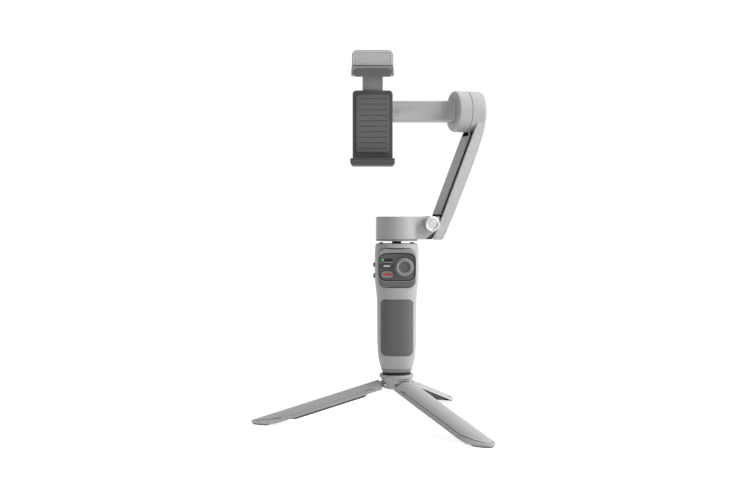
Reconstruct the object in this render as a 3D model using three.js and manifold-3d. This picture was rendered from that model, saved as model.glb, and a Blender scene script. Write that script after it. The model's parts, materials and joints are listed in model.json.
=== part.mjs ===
// Folding three-axis phone stabilizer on a three-legged mini tripod.
// Millimetres, +Z up, the user stands on the -Y side. The origin lies on the
// surface that the tripod stands on, below the middle of the bounding box.
import * as THREE from "three";
import { mergeVertices } from "three/addons/utils/BufferGeometryUtils.js";
import Module from "manifold-3d";

const wasm = await Module();
wasm.setup();

// ---------------------------------------------------------------- driving dimensions
const GAP = 0.3; // clearance between touching pieces of a turned group
const PAN_YAW = THREE.MathUtils.degToRad(16); // how far the pan motor is turned at rest

const LEG_COUNT = 3;
const LEG_AZIMUTH = 184.8; // degrees, of the first leg
const LEG_SLOPE = THREE.MathUtils.degToRad(17);
const LEG_PIVOT = { r: 10, z: 32.3 };
const LEG_LENGTH = 117;
const LEG_RADIUS = 15; // the three closed legs form a round grip of this radius
const LEG_WALL = 2;
const LEG_HALF_ANGLE = 57; // degrees, of the leg's share of the closed grip
const LEG_TAPER = 26; // length of the narrowing tip
const LEG_ROOT = 4;
const FOOT_THICKNESS = 1.2;

const HUB = {
  bottom: 28.7,
  shoulder: 36.9,
  rim: 38.4,
  top: 40.9,
  bottomRadius: 11.3,
  shoulderRadius: 13.2,
};
const STUD = { radius: 3.1, head: 4.6, bottom: 29.6, headTop: 32.8, top: 51.8 };
const HUB_RADIUS = 14.8;

const HANDLE = { bottom: 43.2, plate: 46.2, top: 151.8, split: 2, wall: 1.8 };
const HANDLE_SQUARENESS = 2.5; // exponent of the rounded-square section

const PANEL = { halfWidth: 15, bottom: 121.4, top: 143.9, front: -19.2, back: -18 };
const BEZEL = { halfWidth: 15.9, bottom: 115.2, top: 148, front: -19.8, back: -11.6 };
const MODE_BUTTON = { x: -8.5, z: 133.4, width: 9.8, height: 3.8 };
const RECORD_BUTTON = { x: -8.2, z: 126.4, width: 10.2, height: 5.8 };
const JOYSTICK = { x: 5.9, z: 132.6, radius: 7.6, dish: 4.9 };
const GRIP_PAD = {
  halfWidth: 13.6,
  bottom: 57.9,
  top: 105.2,
  corner: 4,
  proud: 0.5,
  depth: 0.85,
};
const ZOOM_ROCKER = { z: 129.2, halfLength: 8, halfDepth: 1.9, noseSpacing: 4.65, noseHalf: 2.1 };
const TRIGGER = { pivotY: 15.4, pivotZ: 141.5, bottom: 119 };

const PAN_MOTOR = { radius: 17.7, bottom: 153.9, top: 174.5, wall: 1.8 };
const FOLD_PIVOT = { x: 26.1, z: 168.3 };
const FORK = { inner: 7.5, outer: 11.7, slotStart: 18.4 };
const ARM_LEAN = THREE.MathUtils.degToRad(21.5);
const ARM = { flangeInner: 12, flangeOuter: 14, innerEdge: 7.1, web: 2.2, motorEnd: 49.6 };
const TILT_MOTOR = { height: 96.8, radius: 17.5, seam: 36.3, innerEnd: 23.9 };

const CLAMP_X = -20.4;
const ROLL_AXIS_Z = 265.1;
const ROLL_MOTOR = { radius: 17, front: 9, back: 28 };
const PHONE = { bottom: 221.9, top: 292.8, back: 0.4 };
const UPPER_JAW_HALF_WIDTH = 18;
const LOWER_JAW = { half: 18.75, bottom: 217.2, top: 223.5, corner: 6, front: -11 };
const LIGHT = { halfWidth: 17.2, bottom: 300.9, top: 314, front: -7.5, back: 3, corner: 4.2 };
const LIGHT_HINGE = { y: 4.6, z: 303.4, radius: 2.2 };

// ---------------------------------------------------------------- colours
const PLASTIC_LIGHT = { color: 0xb9bbbd, roughness: 0.45, metalness: 0 };
const PLASTIC_GREY = { color: 0x97999b, roughness: 0.5, metalness: 0 };
const PLASTIC_DARK = { color: 0x4b4d50, roughness: 0.55, metalness: 0 };
const RUBBER = { color: 0x5a5c5f, roughness: 0.85, metalness: 0 };
const BLACK = { color: 0x1b1b1d, roughness: 0.7, metalness: 0 };
const SILVER = { color: 0xd8d8da, roughness: 0.3, metalness: 1 };
const STEEL = { color: 0x9fa2a6, roughness: 0.35, metalness: 1 };
const COPPER = { color: 0xb06a3a, roughness: 0.45, metalness: 1 };
const BRASS = { color: 0xb59a55, roughness: 0.35, metalness: 1 };
const BOARD_GREEN = { color: 0x1f5a3a, roughness: 0.6, metalness: 0 };
const BATTERY_BLUE = { color: 0x2d4f86, roughness: 0.5, metalness: 0 };
const DIFFUSER_WHITE = { color: 0xdfe0e0, roughness: 0.5, metalness: 0 };

// ---------------------------------------------------------------- solids
function toSolid(geometry) {
  const bare = geometry.clone();
  bare.deleteAttribute("normal");
  bare.deleteAttribute("uv");
  const merged = mergeVertices(bare, 1e-4);
  const position = merged.attributes.position;
  const index = merged.index.array;
  const corner = [new THREE.Vector3(), new THREE.Vector3(), new THREE.Vector3()];
  const triangles = [];
  let volume = 0;
  for (let i = 0; i < index.length; i += 3) {
    const [a, b, c] = [index[i], index[i + 1], index[i + 2]];
    if (a === b || b === c || c === a) {
      continue;
    }
    corner.forEach((point, k) => point.fromBufferAttribute(position, index[i + k]));
    volume += corner[0].dot(corner[1].clone().cross(corner[2]));
    triangles.push([a, b, c]);
  }
  const facingOut = volume > 0 ? triangles : triangles.map(([a, b, c]) => [a, c, b]);
  return new wasm.Manifold(
    new wasm.Mesh({
      numProp: 3,
      vertProperties: new Float32Array(position.array),
      triVerts: new Uint32Array(facingOut.flat()),
    }),
  );
}

const SLIVER = 0.01; // edges shorter than this are merged away

function toGeometry(solid) {
  const mesh = solid.simplify(SLIVER).getMesh();
  const geometry = new THREE.BufferGeometry();
  geometry.setAttribute("position", new THREE.BufferAttribute(mesh.vertProperties, 3));
  geometry.setIndex(new THREE.BufferAttribute(mesh.triVerts, 1));
  geometry.computeVertexNormals();
  return geometry;
}

const join = (first, ...rest) => rest.reduce((sum, solid) => sum.add(solid), first);
const cut = (first, ...rest) => rest.reduce((left, solid) => left.subtract(solid), first);

function block(x0, x1, y0, y1, z0, z1) {
  const geometry = new THREE.BoxGeometry(x1 - x0, y1 - y0, z1 - z0);
  return toSolid(geometry.translate((x0 + x1) / 2, (y0 + y1) / 2, (z0 + z1) / 2));
}

// Turns a shape drawn in (first, second) and extruded by depth onto the named axis.
const AXIS_BASIS = {
  x: [new THREE.Vector3(0, 1, 0), new THREE.Vector3(0, 0, 1), new THREE.Vector3(1, 0, 0)],
  y: [new THREE.Vector3(1, 0, 0), new THREE.Vector3(0, 0, 1), new THREE.Vector3(0, -1, 0)],
  z: [new THREE.Vector3(1, 0, 0), new THREE.Vector3(0, 1, 0), new THREE.Vector3(0, 0, 1)],
};

function extrude(axis, shape, from, to, curveSegments = 3) {
  const options = { depth: to - from, bevelEnabled: false, curveSegments };
  const geometry = new THREE.ExtrudeGeometry(shape, options);
  geometry.translate(0, 0, axis === "y" ? -to : from);
  return toSolid(geometry.applyMatrix4(new THREE.Matrix4().makeBasis(...AXIS_BASIS[axis])));
}

// Revolves (radius, height) points about the named axis through the given centre.
function revolve(axis, points, centre = [0, 0], segments = 24) {
  const profile = points.map(([radius, height]) => new THREE.Vector2(radius, height));
  const geometry = new THREE.LatheGeometry(profile, segments).rotateX(Math.PI / 2);
  if (axis === "x") {
    geometry.rotateY(Math.PI / 2).translate(0, centre[0], centre[1]);
  } else if (axis === "y") {
    geometry.rotateX(-Math.PI / 2).translate(centre[0], 0, centre[1]);
  } else {
    geometry.translate(centre[0], centre[1], 0);
  }
  return toSolid(geometry);
}

function rod(axis, radius, from, to, centre, segments = 24) {
  const points = [
    [0, from],
    [radius, from],
    [radius, to],
    [0, to],
  ];
  return revolve(axis, points, centre, segments);
}

function ring(axis, inner, outer, from, to, centre, segments = 24) {
  const points = [
    [inner, from],
    [outer, from],
    [outer, to],
    [inner, to],
    [inner, from],
  ];
  return revolve(axis, points, centre, segments);
}

function roundedRect(x0, x1, y0, y1, radius) {
  const shape = new THREE.Shape();
  shape.moveTo(x0 + radius, y0);
  shape.lineTo(x1 - radius, y0);
  shape.absarc(x1 - radius, y0 + radius, radius, -Math.PI / 2, 0);
  shape.lineTo(x1, y1 - radius);
  shape.absarc(x1 - radius, y1 - radius, radius, 0, Math.PI / 2);
  shape.lineTo(x0 + radius, y1);
  shape.absarc(x0 + radius, y1 - radius, radius, Math.PI / 2, Math.PI);
  shape.lineTo(x0, y0 + radius);
  shape.absarc(x0 + radius, y0 + radius, radius, Math.PI, Math.PI * 1.5);
  return shape;
}

function polygon(points) {
  return new THREE.Shape(points.map(([x, y]) => new THREE.Vector2(x, y)));
}

// ---------------------------------------------------------------- scene graph
const group = new THREE.Group();
const gimbal = new THREE.Group();
group.add(gimbal);

function addGroup(parent, x = 0, y = 0, z = 0) {
  const child = new THREE.Group();
  child.position.set(x, y, z);
  parent.add(child);
  return child;
}

function addMesh(parent, name, solid, look) {
  const mesh = new THREE.Mesh(toGeometry(solid), new THREE.MeshStandardMaterial(look));
  mesh.name = name;
  parent.add(mesh);
  return mesh;
}

// ---------------------------------------------------------------- tripod
// A leg in its own frame: the hinge pin lies along Y through the origin, the leg
// runs along +X and its convex side faces +Z.
const LEG_HALF_WIDTH = LEG_RADIUS * Math.sin(THREE.MathUtils.degToRad(LEG_HALF_ANGLE));
const KNUCKLE = { radius: 3.2, halfWidth: 4.4, bore: 1.6 };

// A sector of the closed grip's section, spread by an angle in degrees to each side.
function legSector(radius, spread) {
  const shape = new THREE.Shape();
  const halfAngle = THREE.MathUtils.degToRad(spread);
  shape.absarc(0, -LEG_PIVOT.r, radius, Math.PI / 2 - halfAngle, Math.PI / 2 + halfAngle);
  shape.closePath();
  return shape;
}

function legPlan(inset) {
  const side = LEG_HALF_WIDTH - inset;
  const straight = LEG_LENGTH - LEG_TAPER;
  const tip = LEG_LENGTH - inset;
  const shape = new THREE.Shape();
  shape.moveTo(LEG_ROOT + inset, -side);
  shape.lineTo(straight, -side);
  shape.bezierCurveTo(tip - 9, -side + 2.5, tip, -5.5, tip, 0);
  shape.bezierCurveTo(tip, 5.5, tip - 9, side - 2.5, straight, side);
  shape.lineTo(LEG_ROOT + inset, side);
  shape.closePath();
  return shape;
}

// The floor seen from the sloping leg: everything below it, down to a deep box.
function belowFloor(height) {
  const floor = block(-40, LEG_LENGTH + 40, -30, 30, -60, height - LEG_PIVOT.z);
  return floor.rotate([0, -THREE.MathUtils.radToDeg(LEG_SLOPE), 0]);
}

function buildLegShell() {
  const { radius, halfWidth, bore } = KNUCKLE;
  const planOf = (inset) => extrude("z", legPlan(inset), -20, 20, 6);
  const sectorOf = (size, spread) => extrude("x", legSector(size, spread), 0, LEG_LENGTH, 6);
  const outside = sectorOf(LEG_RADIUS, LEG_HALF_ANGLE).intersect(planOf(0));
  const hollow = sectorOf(LEG_RADIUS - LEG_WALL, LEG_HALF_ANGLE - 5).intersect(planOf(LEG_WALL));
  const mouth = extrude("z", legPlan(LEG_WALL), -20, -1.9, 6).intersect(
    block(0, LEG_LENGTH - 18, -20, 20, -20, 0),
  );
  const knuckle = join(
    rod("y", radius, -halfWidth, halfWidth, [0, 0], 14),
    block(0, 6.2, -halfWidth, halfWidth, -1.6, 3),
  );
  const ribs = [30, 52, 74].map((x) => block(x, x + 1.6, -10.5, 10.5, -1.2, 4));
  const spine = block(5.5, 88, -0.8, 0.8, -1.2, 4);
  const inside = join(spine, ...ribs).intersect(sectorOf(LEG_RADIUS - 1, LEG_HALF_ANGLE));
  const shell = join(cut(outside, hollow, mouth), inside, knuckle);
  return cut(shell, rod("y", bore, -6, 6, [0, 0], 12), belowFloor(FOOT_THICKNESS));
}

// The sole fills the outline of the leg's tip between the floor and the shell.
function buildFootPad() {
  const sector = legSector(LEG_RADIUS - 0.4, LEG_HALF_ANGLE - 2);
  const tip = extrude("x", sector, LEG_LENGTH - LEG_TAPER, LEG_LENGTH, 6).intersect(
    extrude("z", legPlan(0.8), -20, 20, 6),
  );
  return tip.intersect(belowFloor(FOOT_THICKNESS - 0.1)).subtract(belowFloor(0));
}

function buildHub() {
  const body = revolve(
    "z",
    [
      [0, HUB.bottom],
      [HUB.bottomRadius, HUB.bottom],
      [HUB.shoulderRadius, HUB.shoulder],
      [HUB_RADIUS - 0.3, HUB.rim - 0.3],
      [HUB_RADIUS, HUB.rim],
      [HUB_RADIUS, HUB.top - 0.5],
      [HUB_RADIUS - 0.5, HUB.top],
      [0, HUB.top],
    ],
    [0, 0],
    30,
  );
  let hub = cut(
    body,
    rod("z", STUD.radius + 0.4, 20, 50, [0, 0], 16),
    rod("z", STUD.head + GAP, 20, STUD.headTop + 0.1, [0, 0], 16),
  );
  const room = KNUCKLE.radius + 0.6;
  const side = KNUCKLE.halfWidth + GAP;
  for (let i = 0; i < LEG_COUNT; i += 1) {
    const slot = join(
      rod("y", room, -side, side, [LEG_PIVOT.r, LEG_PIVOT.z], 14),
      block(LEG_PIVOT.r - 2, 30, -side, side, 20, LEG_PIVOT.z + room),
    );
    const bore = rod("y", 1.55, -9, 9, [LEG_PIVOT.r, LEG_PIVOT.z], 10);
    hub = hub.subtract(join(slot, bore).rotate([0, 0, LEG_AZIMUTH + (i * 360) / LEG_COUNT]));
  }
  return hub;
}

const tripod = addGroup(gimbal);
addMesh(tripod, "tripod_hub", buildHub(), PLASTIC_LIGHT);
addMesh(
  tripod,
  "tripod_stud",
  revolve("z", [
    [0, STUD.bottom],
    [STUD.head, STUD.bottom],
    [STUD.head, STUD.headTop],
    [STUD.radius, STUD.headTop],
    [STUD.radius, STUD.top - 0.8],
    [STUD.radius - 0.6, STUD.top],
    [0, STUD.top],
  ]),
  STEEL,
);
addMesh(tripod, "hub_washer", ring("z", 3.7, 12.2, 41.05, 43.05, [0, 0], 26), BLACK);

for (let i = 0; i < LEG_COUNT; i += 1) {
  const number = i + 1;
  const sector = addGroup(tripod);
  sector.rotation.z = THREE.MathUtils.degToRad(LEG_AZIMUTH + (i * 360) / LEG_COUNT);
  const hinge = addGroup(sector, LEG_PIVOT.r, 0, LEG_PIVOT.z);
  addMesh(hinge, `leg_pin_${number}`, rod("y", 1.2, -7, 7, [0, 0], 12), STEEL);
  const leg = addGroup(hinge);
  leg.rotation.y = LEG_SLOPE;
  addMesh(leg, `leg_${number}`, buildLegShell(), PLASTIC_LIGHT);
  addMesh(leg, `leg_foot_${number}`, buildFootPad(), RUBBER);
}

// ---------------------------------------------------------------- handle
// Half width of the handle against height, through its narrow foot, slim waist
// and wider head.
const HANDLE_SIDE = new THREE.SplineCurve([
  new THREE.Vector2(12.5, HANDLE.bottom),
  new THREE.Vector2(14.6, 49.5),
  new THREE.Vector2(16.1, 59),
  new THREE.Vector2(16.65, 70),
  new THREE.Vector2(16.68, 98),
  new THREE.Vector2(17.2, 109.5),
  new THREE.Vector2(18.5, 119.5),
  new THREE.Vector2(18.65, 128),
  new THREE.Vector2(18.6, 145),
  new THREE.Vector2(17.9, HANDLE.top),
]);

function handleSolid(inset, bottom, top) {
  const side = HANDLE_SIDE.getPoints(10);
  const profile = [[0, bottom]];
  profile.push([handleHalfWidth(side, bottom) - inset, bottom]);
  for (const point of side) {
    if (point.y > bottom + 1 && point.y < top - 1) {
      profile.push([point.x - inset, point.y]);
    }
  }
  profile.push([handleHalfWidth(side, top) - inset, top]);
  profile.push([0, top]);
  const points = profile.map(([radius, height]) => new THREE.Vector2(radius, height));
  const geometry = new THREE.LatheGeometry(points, 26).rotateX(Math.PI / 2);
  const position = geometry.attributes.position;
  for (let i = 0; i < position.count; i += 1) {
    const [x, y] = [position.getX(i), position.getY(i)];
    const length = Math.hypot(x, y);
    if (length > 1e-6) {
      const power = HANDLE_SQUARENESS;
      const sum = Math.abs(x / length) ** power + Math.abs(y / length) ** power;
      const stretch = 1 / sum ** (1 / power);
      position.setXY(i, x * stretch, y * stretch);
    }
  }
  return toSolid(geometry);
}

function handleHalfWidth(side, height) {
  const above = side.findIndex((point) => point.y >= height);
  if (above <= 0) {
    return side[above < 0 ? side.length - 1 : 0].x;
  }
  const [low, high] = [side[above - 1], side[above]];
  return low.x + ((high.x - low.x) * (height - low.y)) / (high.y - low.y);
}

const bezelOutline = (grow) =>
  roundedRect(
    -BEZEL.halfWidth - grow,
    BEZEL.halfWidth + grow,
    BEZEL.bottom - grow,
    BEZEL.top + grow,
    6 + grow,
  );
const panelOutline = (grow) =>
  roundedRect(
    -PANEL.halfWidth - grow,
    PANEL.halfWidth + grow,
    PANEL.bottom - grow,
    PANEL.top + grow,
    5.5 + grow,
  );
const padOutline = (grow) =>
  roundedRect(
    -GRIP_PAD.halfWidth - grow,
    GRIP_PAD.halfWidth + grow,
    GRIP_PAD.bottom - grow,
    GRIP_PAD.top + grow,
    GRIP_PAD.corner + grow,
  );
const pillOutline = (button, grow) =>
  roundedRect(
    button.x - button.width / 2 - grow,
    button.x + button.width / 2 + grow,
    button.z - button.height / 2 - grow,
    button.z + button.height / 2 + grow,
    button.height / 2 + grow - 0.01,
  );

const handle = addGroup(gimbal);
const handleOutside = handleSolid(0, HANDLE.plate, HANDLE.top);
const handleInside = handleSolid(HANDLE.wall, HANDLE.plate - 1, HANDLE.top - 2.6);
const topBore = rod("z", 3.8, 140, 160, [0, 0], 16);
const handleWall = cut(handleOutside, handleInside, topBore);

function buildFrontShell() {
  const frontHalf = block(-30, 30, -30, HANDLE.split - 0.05, 40, 160);
  const padRecess = cut(handleOutside, handleSolid(1, HANDLE.plate, HANDLE.top)).intersect(
    extrude("y", padOutline(0.15), -30, -6),
  );
  const rockerHalf = ZOOM_ROCKER.halfLength + 0.4;
  const rockerSlot = block(-25, -10, -3.2, 1.4, ZOOM_ROCKER.z - rockerHalf, ZOOM_ROCKER.z + rockerHalf);
  return cut(
    handleWall.intersect(frontHalf),
    extrude("y", bezelOutline(0.2), -30, -6),
    padRecess,
    rockerSlot,
  );
}

function buildRearShell() {
  const rearHalf = block(-30, 30, HANDLE.split + 0.05, 30, 40, 160);
  const triggerSlot = block(-6.3, 6.3, 8, 30, TRIGGER.bottom - 1.4, TRIGGER.pivotZ + 3.2);
  const usbSlot = extrude("y", roundedRect(-4.8, 4.8, 66, 70, 1.9), 8, 30);
  const pinLug = block(-9.6, 9.6, 12.9, 17.4, TRIGGER.pivotZ - 2.4, TRIGGER.pivotZ + 2.4);
  const lugs = cut(pinLug.intersect(handleOutside), block(-6.3, 6.3, 8, 30, 110, 160));
  const pinBore = rod("x", 1.3, -8.6, 8.6, [TRIGGER.pivotY, TRIGGER.pivotZ], 14);
  return cut(join(cut(handleWall.intersect(rearHalf), triggerSlot, usbSlot), lugs), pinBore);
}

addMesh(handle, "handle_front_shell", buildFrontShell(), PLASTIC_LIGHT);
addMesh(handle, "handle_rear_shell", buildRearShell(), PLASTIC_LIGHT);
addMesh(
  handle,
  "handle_base_plate",
  join(
    handleSolid(0.05, HANDLE.bottom, HANDLE.plate - 0.1),
    handleSolid(HANDLE.wall + 0.2, HANDLE.plate - 0.1, HANDLE.plate + 3),
  ).subtract(rod("z", 5, 40, 60, [0, 0])),
  PLASTIC_GREY,
);
addMesh(handle, "thread_insert", ring("z", 3.35, 4.85, 43.4, 54, [0, 0]), BRASS);
addMesh(handle, "battery_cell", rod("z", 9.2, 55, 120, [0, 1.8], 28), BATTERY_BLUE);
// The charging socket is soldered to the main board, so they are one piece.
const chargingSocket = cut(
  extrude("y", roundedRect(-4.5, 4.5, 66.3, 69.7, 1.6), 12.9, 16.2),
  extrude("y", roundedRect(-4.1, 4.1, 66.7, 69.3, 1.2), 13.6, 17),
);
addMesh(
  handle,
  "main_board",
  join(block(-7.5, 7.5, 11.8, 13, 63, 114), chargingSocket),
  BOARD_GREEN,
);
addMesh(
  handle,
  "grip_pad",
  extrude("y", padOutline(0), -30, -6)
    .intersect(handleSolid(-GRIP_PAD.proud, HANDLE.plate, HANDLE.top))
    .subtract(handleSolid(GRIP_PAD.depth, HANDLE.plate, HANDLE.top)),
  RUBBER,
);

// Control head: a dark bezel in the front shell's window, a flat panel in the
// bezel, and the controls in the panel's holes.
const ledStrip = (grow) =>
  roundedRect(-12.9 - grow, -3.9 + grow, 137.4 - grow, 139.6 + grow, 0.7 + grow);
const stickCentre = [JOYSTICK.x, JOYSTICK.z];
const controlHoles = [
  extrude("y", pillOutline(MODE_BUTTON, GAP), -30, 0),
  extrude("y", pillOutline(RECORD_BUTTON, GAP), -30, 0),
  extrude("y", ledStrip(0.1), -30, 0),
  rod("y", 5.4, -30, 0, stickCentre, 28),
];
addMesh(
  handle,
  "control_bezel",
  cut(
    extrude("y", bezelOutline(0), BEZEL.front, BEZEL.back),
    extrude("y", panelOutline(0.1), -30, PANEL.back + 0.1),
    ...controlHoles,
  ),
  PLASTIC_DARK,
);
addMesh(
  handle,
  "control_panel",
  cut(extrude("y", panelOutline(0), PANEL.front, PANEL.back), ...controlHoles),
  PLASTIC_DARK,
);
addMesh(
  handle,
  "led_light_pipe",
  extrude("y", ledStrip(0), PANEL.front - 0.1, -12.2),
  BLACK,
);

const buttonFront = PANEL.front - 0.7;
addMesh(
  addGroup(handle),
  "mode_button",
  extrude("y", pillOutline(MODE_BUTTON, 0), buttonFront, -12),
  PLASTIC_DARK,
);
const recordButton = addGroup(handle);
addMesh(
  recordButton,
  "record_button",
  extrude("y", pillOutline(RECORD_BUTTON, 0), buttonFront, -12),
  PLASTIC_GREY,
);

const joystick = addGroup(handle);
addMesh(
  joystick,
  "joystick_cap",
  revolve(
    "y",
    [
      [0, -22.6],
      [JOYSTICK.dish - 0.5, -22.7],
      [JOYSTICK.dish + 0.6, -23.7],
      [JOYSTICK.radius - 1.1, -23.7],
      [JOYSTICK.radius - 0.2, -22.9],
      [JOYSTICK.radius, -21.9],
      [JOYSTICK.radius - 1.2, -21.2],
      [2, -21.2],
      [2, -15.4],
      [0, -15.4],
    ],
    stickCentre,
    28,
  ),
  RUBBER,
);
// The joystick's base is soldered to the control board, so they are one piece.
const stickBase = cut(
  rod("y", 5.1, -15, -11, stickCentre, 24),
  rod("y", 2.6, -16, -13.5, stickCentre, 16),
);
addMesh(
  handle,
  "control_board",
  join(block(-14, 14, -11.2, -10, 118, 143), stickBase),
  BOARD_GREEN,
);

function buildRocker() {
  const { halfLength, halfDepth, noseSpacing, noseHalf } = ZOOM_ROCKER;
  const noses = [-noseSpacing, noseSpacing].map((z) =>
    extrude("y", roundedRect(-3.9, 0, z - noseHalf, z + noseHalf, 1.2), -halfDepth, halfDepth),
  );
  return join(block(-2.5, 0.8, -halfDepth, halfDepth, -halfLength, halfLength), ...noses);
}
const rocker = addGroup(handle, -16, -0.9, ZOOM_ROCKER.z);
addMesh(rocker, "zoom_rocker", buildRocker(), PLASTIC_DARK);

const trigger = addGroup(handle, 0, TRIGGER.pivotY, TRIGGER.pivotZ);
function buildTrigger() {
  const shape = new THREE.Shape();
  shape.moveTo(-2.1, 2.2);
  shape.lineTo(1.6, 2.2);
  shape.quadraticCurveTo(3.6, -2, 4.6, -9);
  shape.quadraticCurveTo(5.2, -16, 7.4, -21.5);
  shape.lineTo(4.4, -22);
  shape.quadraticCurveTo(1.4, -14, -2.1, -6);
  shape.closePath();
  return cut(extrude("x", shape, -5.9, 5.9, 5), rod("x", 1.55, -8, 8, [0, 0], 14));
}
addMesh(trigger, "trigger", buildTrigger(), PLASTIC_DARK);
addMesh(
  handle,
  "trigger_pin",
  rod("x", 1.1, -8.2, 8.2, [TRIGGER.pivotY, TRIGGER.pivotZ], 12),
  STEEL,
);

// ---------------------------------------------------------------- pan motor
addMesh(
  handle,
  "pan_shaft",
  revolve("z", [
    [0, 145.6],
    [8, 145.6],
    [8, 149],
    [3.2, 149],
    [3.2, 171.6],
    [0, 171.6],
  ]),
  BLACK,
);
addMesh(handle, "pan_stator", ring("z", 3.3, 11.4, 157.6, 166.4, [0, 0], 28), COPPER);

const pan = addGroup(gimbal);
pan.rotation.z = PAN_YAW;

// Side view of one fork ear, in (x, z) about the fold pivot: a top face level with
// the motor, a face along the arm's inner edge and a mitre below it.
const EAR_FACE = ARM.innerEdge - GAP;
function earOutline() {
  const [cosine, sine] = [Math.cos(ARM_LEAN), Math.sin(ARM_LEAN)];
  const top = PAN_MOTOR.top - FOLD_PIVOT.z;
  const bottom = 155.6 - FOLD_PIVOT.z;
  const left = -FOLD_PIVOT.x + 9;
  const faceAt = (height) => (EAR_FACE + height * sine) / cosine;
  return polygon([
    [left, bottom],
    [-3.8, bottom],
    [5.1, -5.5],
    [faceAt(top - 1.4), top - 1.4],
    [faceAt(top - 1.4) - 1.1, top],
    [left, top],
  ]);
}

function buildPanHousing() {
  const { radius, bottom, top, wall } = PAN_MOTOR;
  const body = revolve(
    "z",
    [
      [0, bottom + 1.5],
      [radius - 0.4, bottom + 1.5],
      [radius, bottom + 2],
      [radius, top - 1.2],
      [radius - 1.2, top],
      [0, top],
    ],
    [0, 0],
    32,
  );
  const boss = extrude("y", earOutline(), -FORK.outer, FORK.outer).translate([
    FOLD_PIVOT.x,
    0,
    FOLD_PIVOT.z,
  ]);
  const slot = block(FORK.slotStart, 60, -FORK.inner, FORK.inner, 140, 190);
  const bore = rod("y", 2.8, -20, 20, [FOLD_PIVOT.x, FOLD_PIVOT.z], 20);
  const hollow = rod("z", radius - wall, bottom, top - 5, [0, 0], 26);
  return cut(
    join(body, boss),
    slot,
    bore,
    hollow,
    rod("z", 6.9, top - 6, top - 2.6, [0, 0]),
  );
}

addMesh(pan, "pan_motor_housing", buildPanHousing(), PLASTIC_LIGHT);
addMesh(
  pan,
  "pan_motor_bottom",
  join(
    ring("z", 4.2, PAN_MOTOR.radius, PAN_MOTOR.bottom, PAN_MOTOR.bottom + 1.4, [0, 0], 26),
    ring("z", 14, 15.6, PAN_MOTOR.bottom, PAN_MOTOR.bottom + 2.6, [0, 0], 26),
  ),
  PLASTIC_GREY,
);
addMesh(pan, "pan_rotor", ring("z", 12, 14.6, 157.2, 168.8, [0, 0], 26), STEEL);
addMesh(pan, "pan_bearing", ring("z", 3.5, 6.7, 168.7, 171.7, [0, 0], 24), STEEL);
addMesh(
  pan,
  "fold_pin",
  join(
    rod("y", 2.4, -15.2, 12.4, [FOLD_PIVOT.x, FOLD_PIVOT.z], 18),
    rod("y", 4.2, 12, 13.6, [FOLD_PIVOT.x, FOLD_PIVOT.z], 18),
  ),
  STEEL,
);
const knob = addGroup(pan, FOLD_PIVOT.x, 0, FOLD_PIVOT.z);
addMesh(
  knob,
  "fold_knob",
  revolve(
    "y",
    [
      [0, -17.6],
      [3.9, -17.6],
      [4.3, -18],
      [5.9, -18],
      [6.5, -17.4],
      [6.5, -13.4],
      [6, -12.9],
      [4.4, -12.9],
      [4.4, -11.95],
      [2.7, -11.95],
      [2.7, -15.6],
      [0, -15.6],
    ],
    [0, 0],
    24,
  ),
  SILVER,
);

// ---------------------------------------------------------------- folding arm
// The arm's frame has the fold pivot at its origin. Its outer edge bows gently and
// ends upright at the tilt motor; its inner edge is straight.
const arm = addGroup(pan, FOLD_PIVOT.x, 0, FOLD_PIVOT.z);
const innerEdgeAt = (height, offset) =>
  (offset + height * Math.sin(ARM_LEAN)) / Math.cos(ARM_LEAN);
const ARM_OUTER_EDGE = [
  new THREE.Vector2(12.4, -9.5),
  new THREE.Vector2(21.2, 10.2),
  new THREE.Vector2(37.7, 50.6),
  new THREE.Vector2(47.6, 79),
  new THREE.Vector2(ARM.motorEnd, 92),
];

// Side view of the arm between its inner edge, moved by the offset, and its outer
// edge, pulled in by the inset.
function armOutline(bottom, offset, inset, top = 88) {
  const shape = new THREE.Shape();
  const outer = ARM_OUTER_EDGE.map((point) => new THREE.Vector2(point.x - inset, point.y));
  shape.moveTo(innerEdgeAt(bottom, offset), bottom);
  if (bottom < -10) {
    shape.lineTo(6.5 - inset, bottom);
    shape.quadraticCurveTo(10.7 - inset, bottom, outer[0].x, outer[0].y);
    shape.splineThru(outer.slice(1));
  } else {
    const side = new THREE.SplineCurve(outer).getPoints(10).filter((point) => point.y > bottom);
    const slope = (side[1].x - side[0].x) / (side[1].y - side[0].y);
    shape.lineTo(side[0].x - slope * (side[0].y - bottom), bottom);
    side.forEach((point) => shape.lineTo(point.x, point.y));
  }
  shape.lineTo(innerEdgeAt(top, offset), top);
  shape.closePath();
  return shape;
}

const COVER_SCREW = [-5.4, 77.7]; // y and z of the screw above the inner cover

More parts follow.
